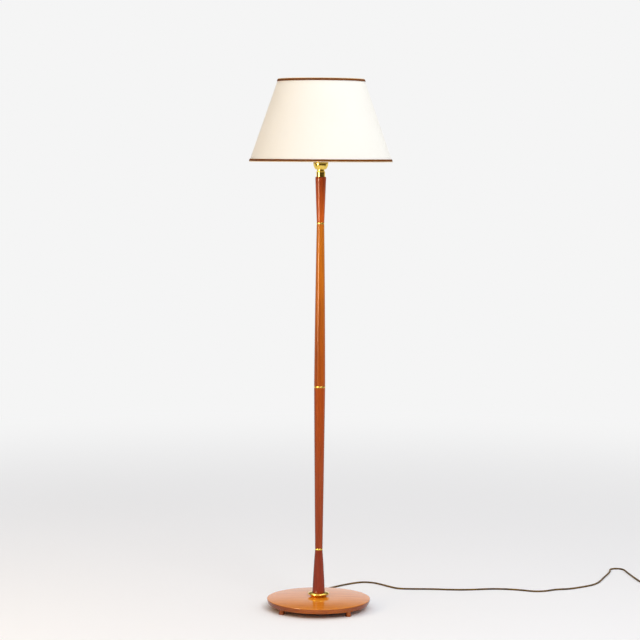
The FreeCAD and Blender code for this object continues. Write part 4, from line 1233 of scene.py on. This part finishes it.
studio = {
    "floorReach": 30.0,
    "floor": (0.862, 0.874, 0.905),
    "background": 0.913,
    "fade": (0.8, 4.4),         # distances over which the floor passes into the background
    "dark": (0.085, 0.07, 0.045),         # what polish shows of the room in front
    "dim": (1.6, 4.0),          # distances over which polish sees the floor in front go dark
    "floorBehind": (-0.6, 0.8),           # y over which the floor passes from front to back
    "roomBehind": (0.10, 0.45),           # the same for the room, by the y of a direction
    "roomLow": (0.42, 0.18),              # z of a direction over which that pale part ends
    "right": (0.66, 0.66, 0.66),
    "left": (0.10, 0.05, 0.01),
    "above": (0.90, 0.90, 0.90),
    "ceiling": (2.40, 2.30, 2.10),        # what polish shows of the room straight above
}


def isSeen(tree, behind):
    # 1 where the plain background shows: to the camera and through glass everywhere, and in
    # polish where it lies behind the lamp
    path = tree.nodes.new("ShaderNodeLightPath").outputs
    direct = plus(tree, path["Is Camera Ray"], path["Is Transmission Ray"], clamp=True)
    mirrored = times(tree, path["Is Glossy Ray"], behind)
    return maths(tree, "MAXIMUM", direct, mirrored), path["Is Glossy Ray"]


def makeFloor():
    # a disc of rings whose radii grow as a power, so that the middle has small faces
    radius = (np.linspace(0.02, 1, 60) ** 3 * studio["floorReach"])[:, None]
    grid = ringGrid(radius[::-1], 0 * radius, anglesRound(96))
    mesh = meshFromGrid("floor", grid, capEnd=True)
    material, tree, shader = startMaterial("studio floor")
    place = objectPlace(tree)
    distance = put(tree, "ShaderNodeVectorMath", {"operation": "LENGTH"}).outputs[1]
    tree.links.new(place, distance.node.inputs[0])
    split = put(tree, "ShaderNodeSeparateXYZ", Vector=place)
    behind = ramp(tree, split.outputs[1], *studio["floorBehind"])
    grain = noise(tree, place, 26.0, 4.0, 0.6)
    setShader(tree, shader, Base_Color=tint(*studio["floor"]),
              Roughness=plus(tree, 0.62, grain), Specular_IOR_Level=0.2)
    seen, glossy = isSeen(tree, behind)
    level = studio["background"]
    light = put(tree, "ShaderNodeEmission", Strength=1.0)
    away = maths(tree, "SUBTRACT", glossy, seen, clamp=True)
    feed(tree, light.inputs["Color"],
         mixed(tree, away, tint(level, level, level), tint(*studio["dark"])))
    fading = times(tree, ramp(tree, distance, *studio["fade"]), seen)
    far = maths(tree, "MAXIMUM", fading, times(tree, away, ramp(tree, distance, *studio["dim"])))
    both = put(tree, "ShaderNodeMixShader", Fac=far)
    tree.links.new(shader.outputs[0], both.inputs[1])
    tree.links.new(light.outputs[0], both.inputs[2])
    output = next(n for n in tree.nodes if n.type == "OUTPUT_MATERIAL")
    tree.links.new(both.outputs[0], output.inputs[0])
    floor = bpy.data.objects.new("floor", mesh)
    scene.collection.objects.link(floor)
    mesh.materials.append(material)


def makeWorld():
    # the camera sees a plain pale background, and so does polish where that lies low behind the
    # lamp; the rest of the room is dim in front, warm on the left and bright overhead
    world = bpy.data.worlds.new("studio")
    scene.world = world
    world.use_nodes = True
    tree = world.node_tree
    tree.nodes.clear()
    direction = tree.nodes.new("ShaderNodeTexCoord").outputs["Generated"]
    split = put(tree, "ShaderNodeSeparateXYZ", Vector=direction)
    low = ramp(tree, split.outputs[2], *studio["roomLow"])
    behind = times(tree, ramp(tree, split.outputs[1], *studio["roomBehind"]), low)
    overhead = ramp(tree, split.outputs[2], 0.25, 0.9)
    room = mixed(tree, ramp(tree, split.outputs[0], 0.7, -0.7), tint(*studio["right"]),
                 tint(*studio["left"]))
    room = mixed(tree, overhead, room, tint(*studio["above"]))
    seen, glossy = isSeen(tree, behind)
    dark = mixed(tree, ramp(tree, split.outputs[2], 0.5, 0.95), tint(*studio["dark"]),
                 tint(*studio["ceiling"]))
    room = mixed(tree, glossy, room, dark)
    level = studio["background"]
    colour = mixed(tree, seen, room, tint(level, level, level))
    background = put(tree, "ShaderNodeBackground", Color=colour, Strength=1.0)
    output = tree.nodes.new("ShaderNodeOutputWorld")
    tree.links.new(background.outputs[0], output.inputs[0])


def addSoftbox(name, place, aim, size, power, colour, inPolish=True, onMatt=True):
    data = bpy.data.lights.new(name, "AREA")
    data.shape = "RECTANGLE"
    data.size, data.size_y = size
    data.energy = power
    data.color = colour
    light = bpy.data.objects.new(name, data)
    scene.collection.objects.link(light)
    toAim = (Vector(aim) - Vector(place)).to_track_quat("-Z", "Y")
    light.matrix_world = Matrix.Translation(place) @ toAim.to_matrix().to_4x4()
    light.visible_glossy = inPolish
    light.visible_diffuse = onMatt


softboxes = {
    "key": {"place": (1.4, -2.8, 2.9), "aim": (0.0, 0.0, 1.0), "size": (1.2, 1.2),
            "power": 41.0, "colour": (1.0, 1.0, 1.0)},
    "fill": {"place": (-2.4, -1.4, 1.5), "aim": (0.0, 0.0, 1.1), "size": (1.2, 1.7),
             "power": 21.5, "colour": (1.0, 0.69, 0.34), "inPolish": False},
    "strip": {"place": (-2.05, -1.85, 1.45), "aim": (0.0, 0.0, 1.25), "size": (0.8, 1.7),
              "power": 145.0, "colour": (1.0, 0.76, 0.52), "onMatt": False},
    "overhead": {"place": (0.2, -0.3, 3.6), "aim": (0.0, 0.3, 0.0), "size": (2.6, 2.6),
                 "power": 17.0, "colour": (1.0, 1.0, 1.0), "inPolish": False},
}


def makeLights():
    for name, box in softboxes.items():
        addSoftbox(name, **box)


makeFloor()
makeWorld()
makeLights()
scene.view_settings.view_transform = "Standard"
print("floor, room and lights made")
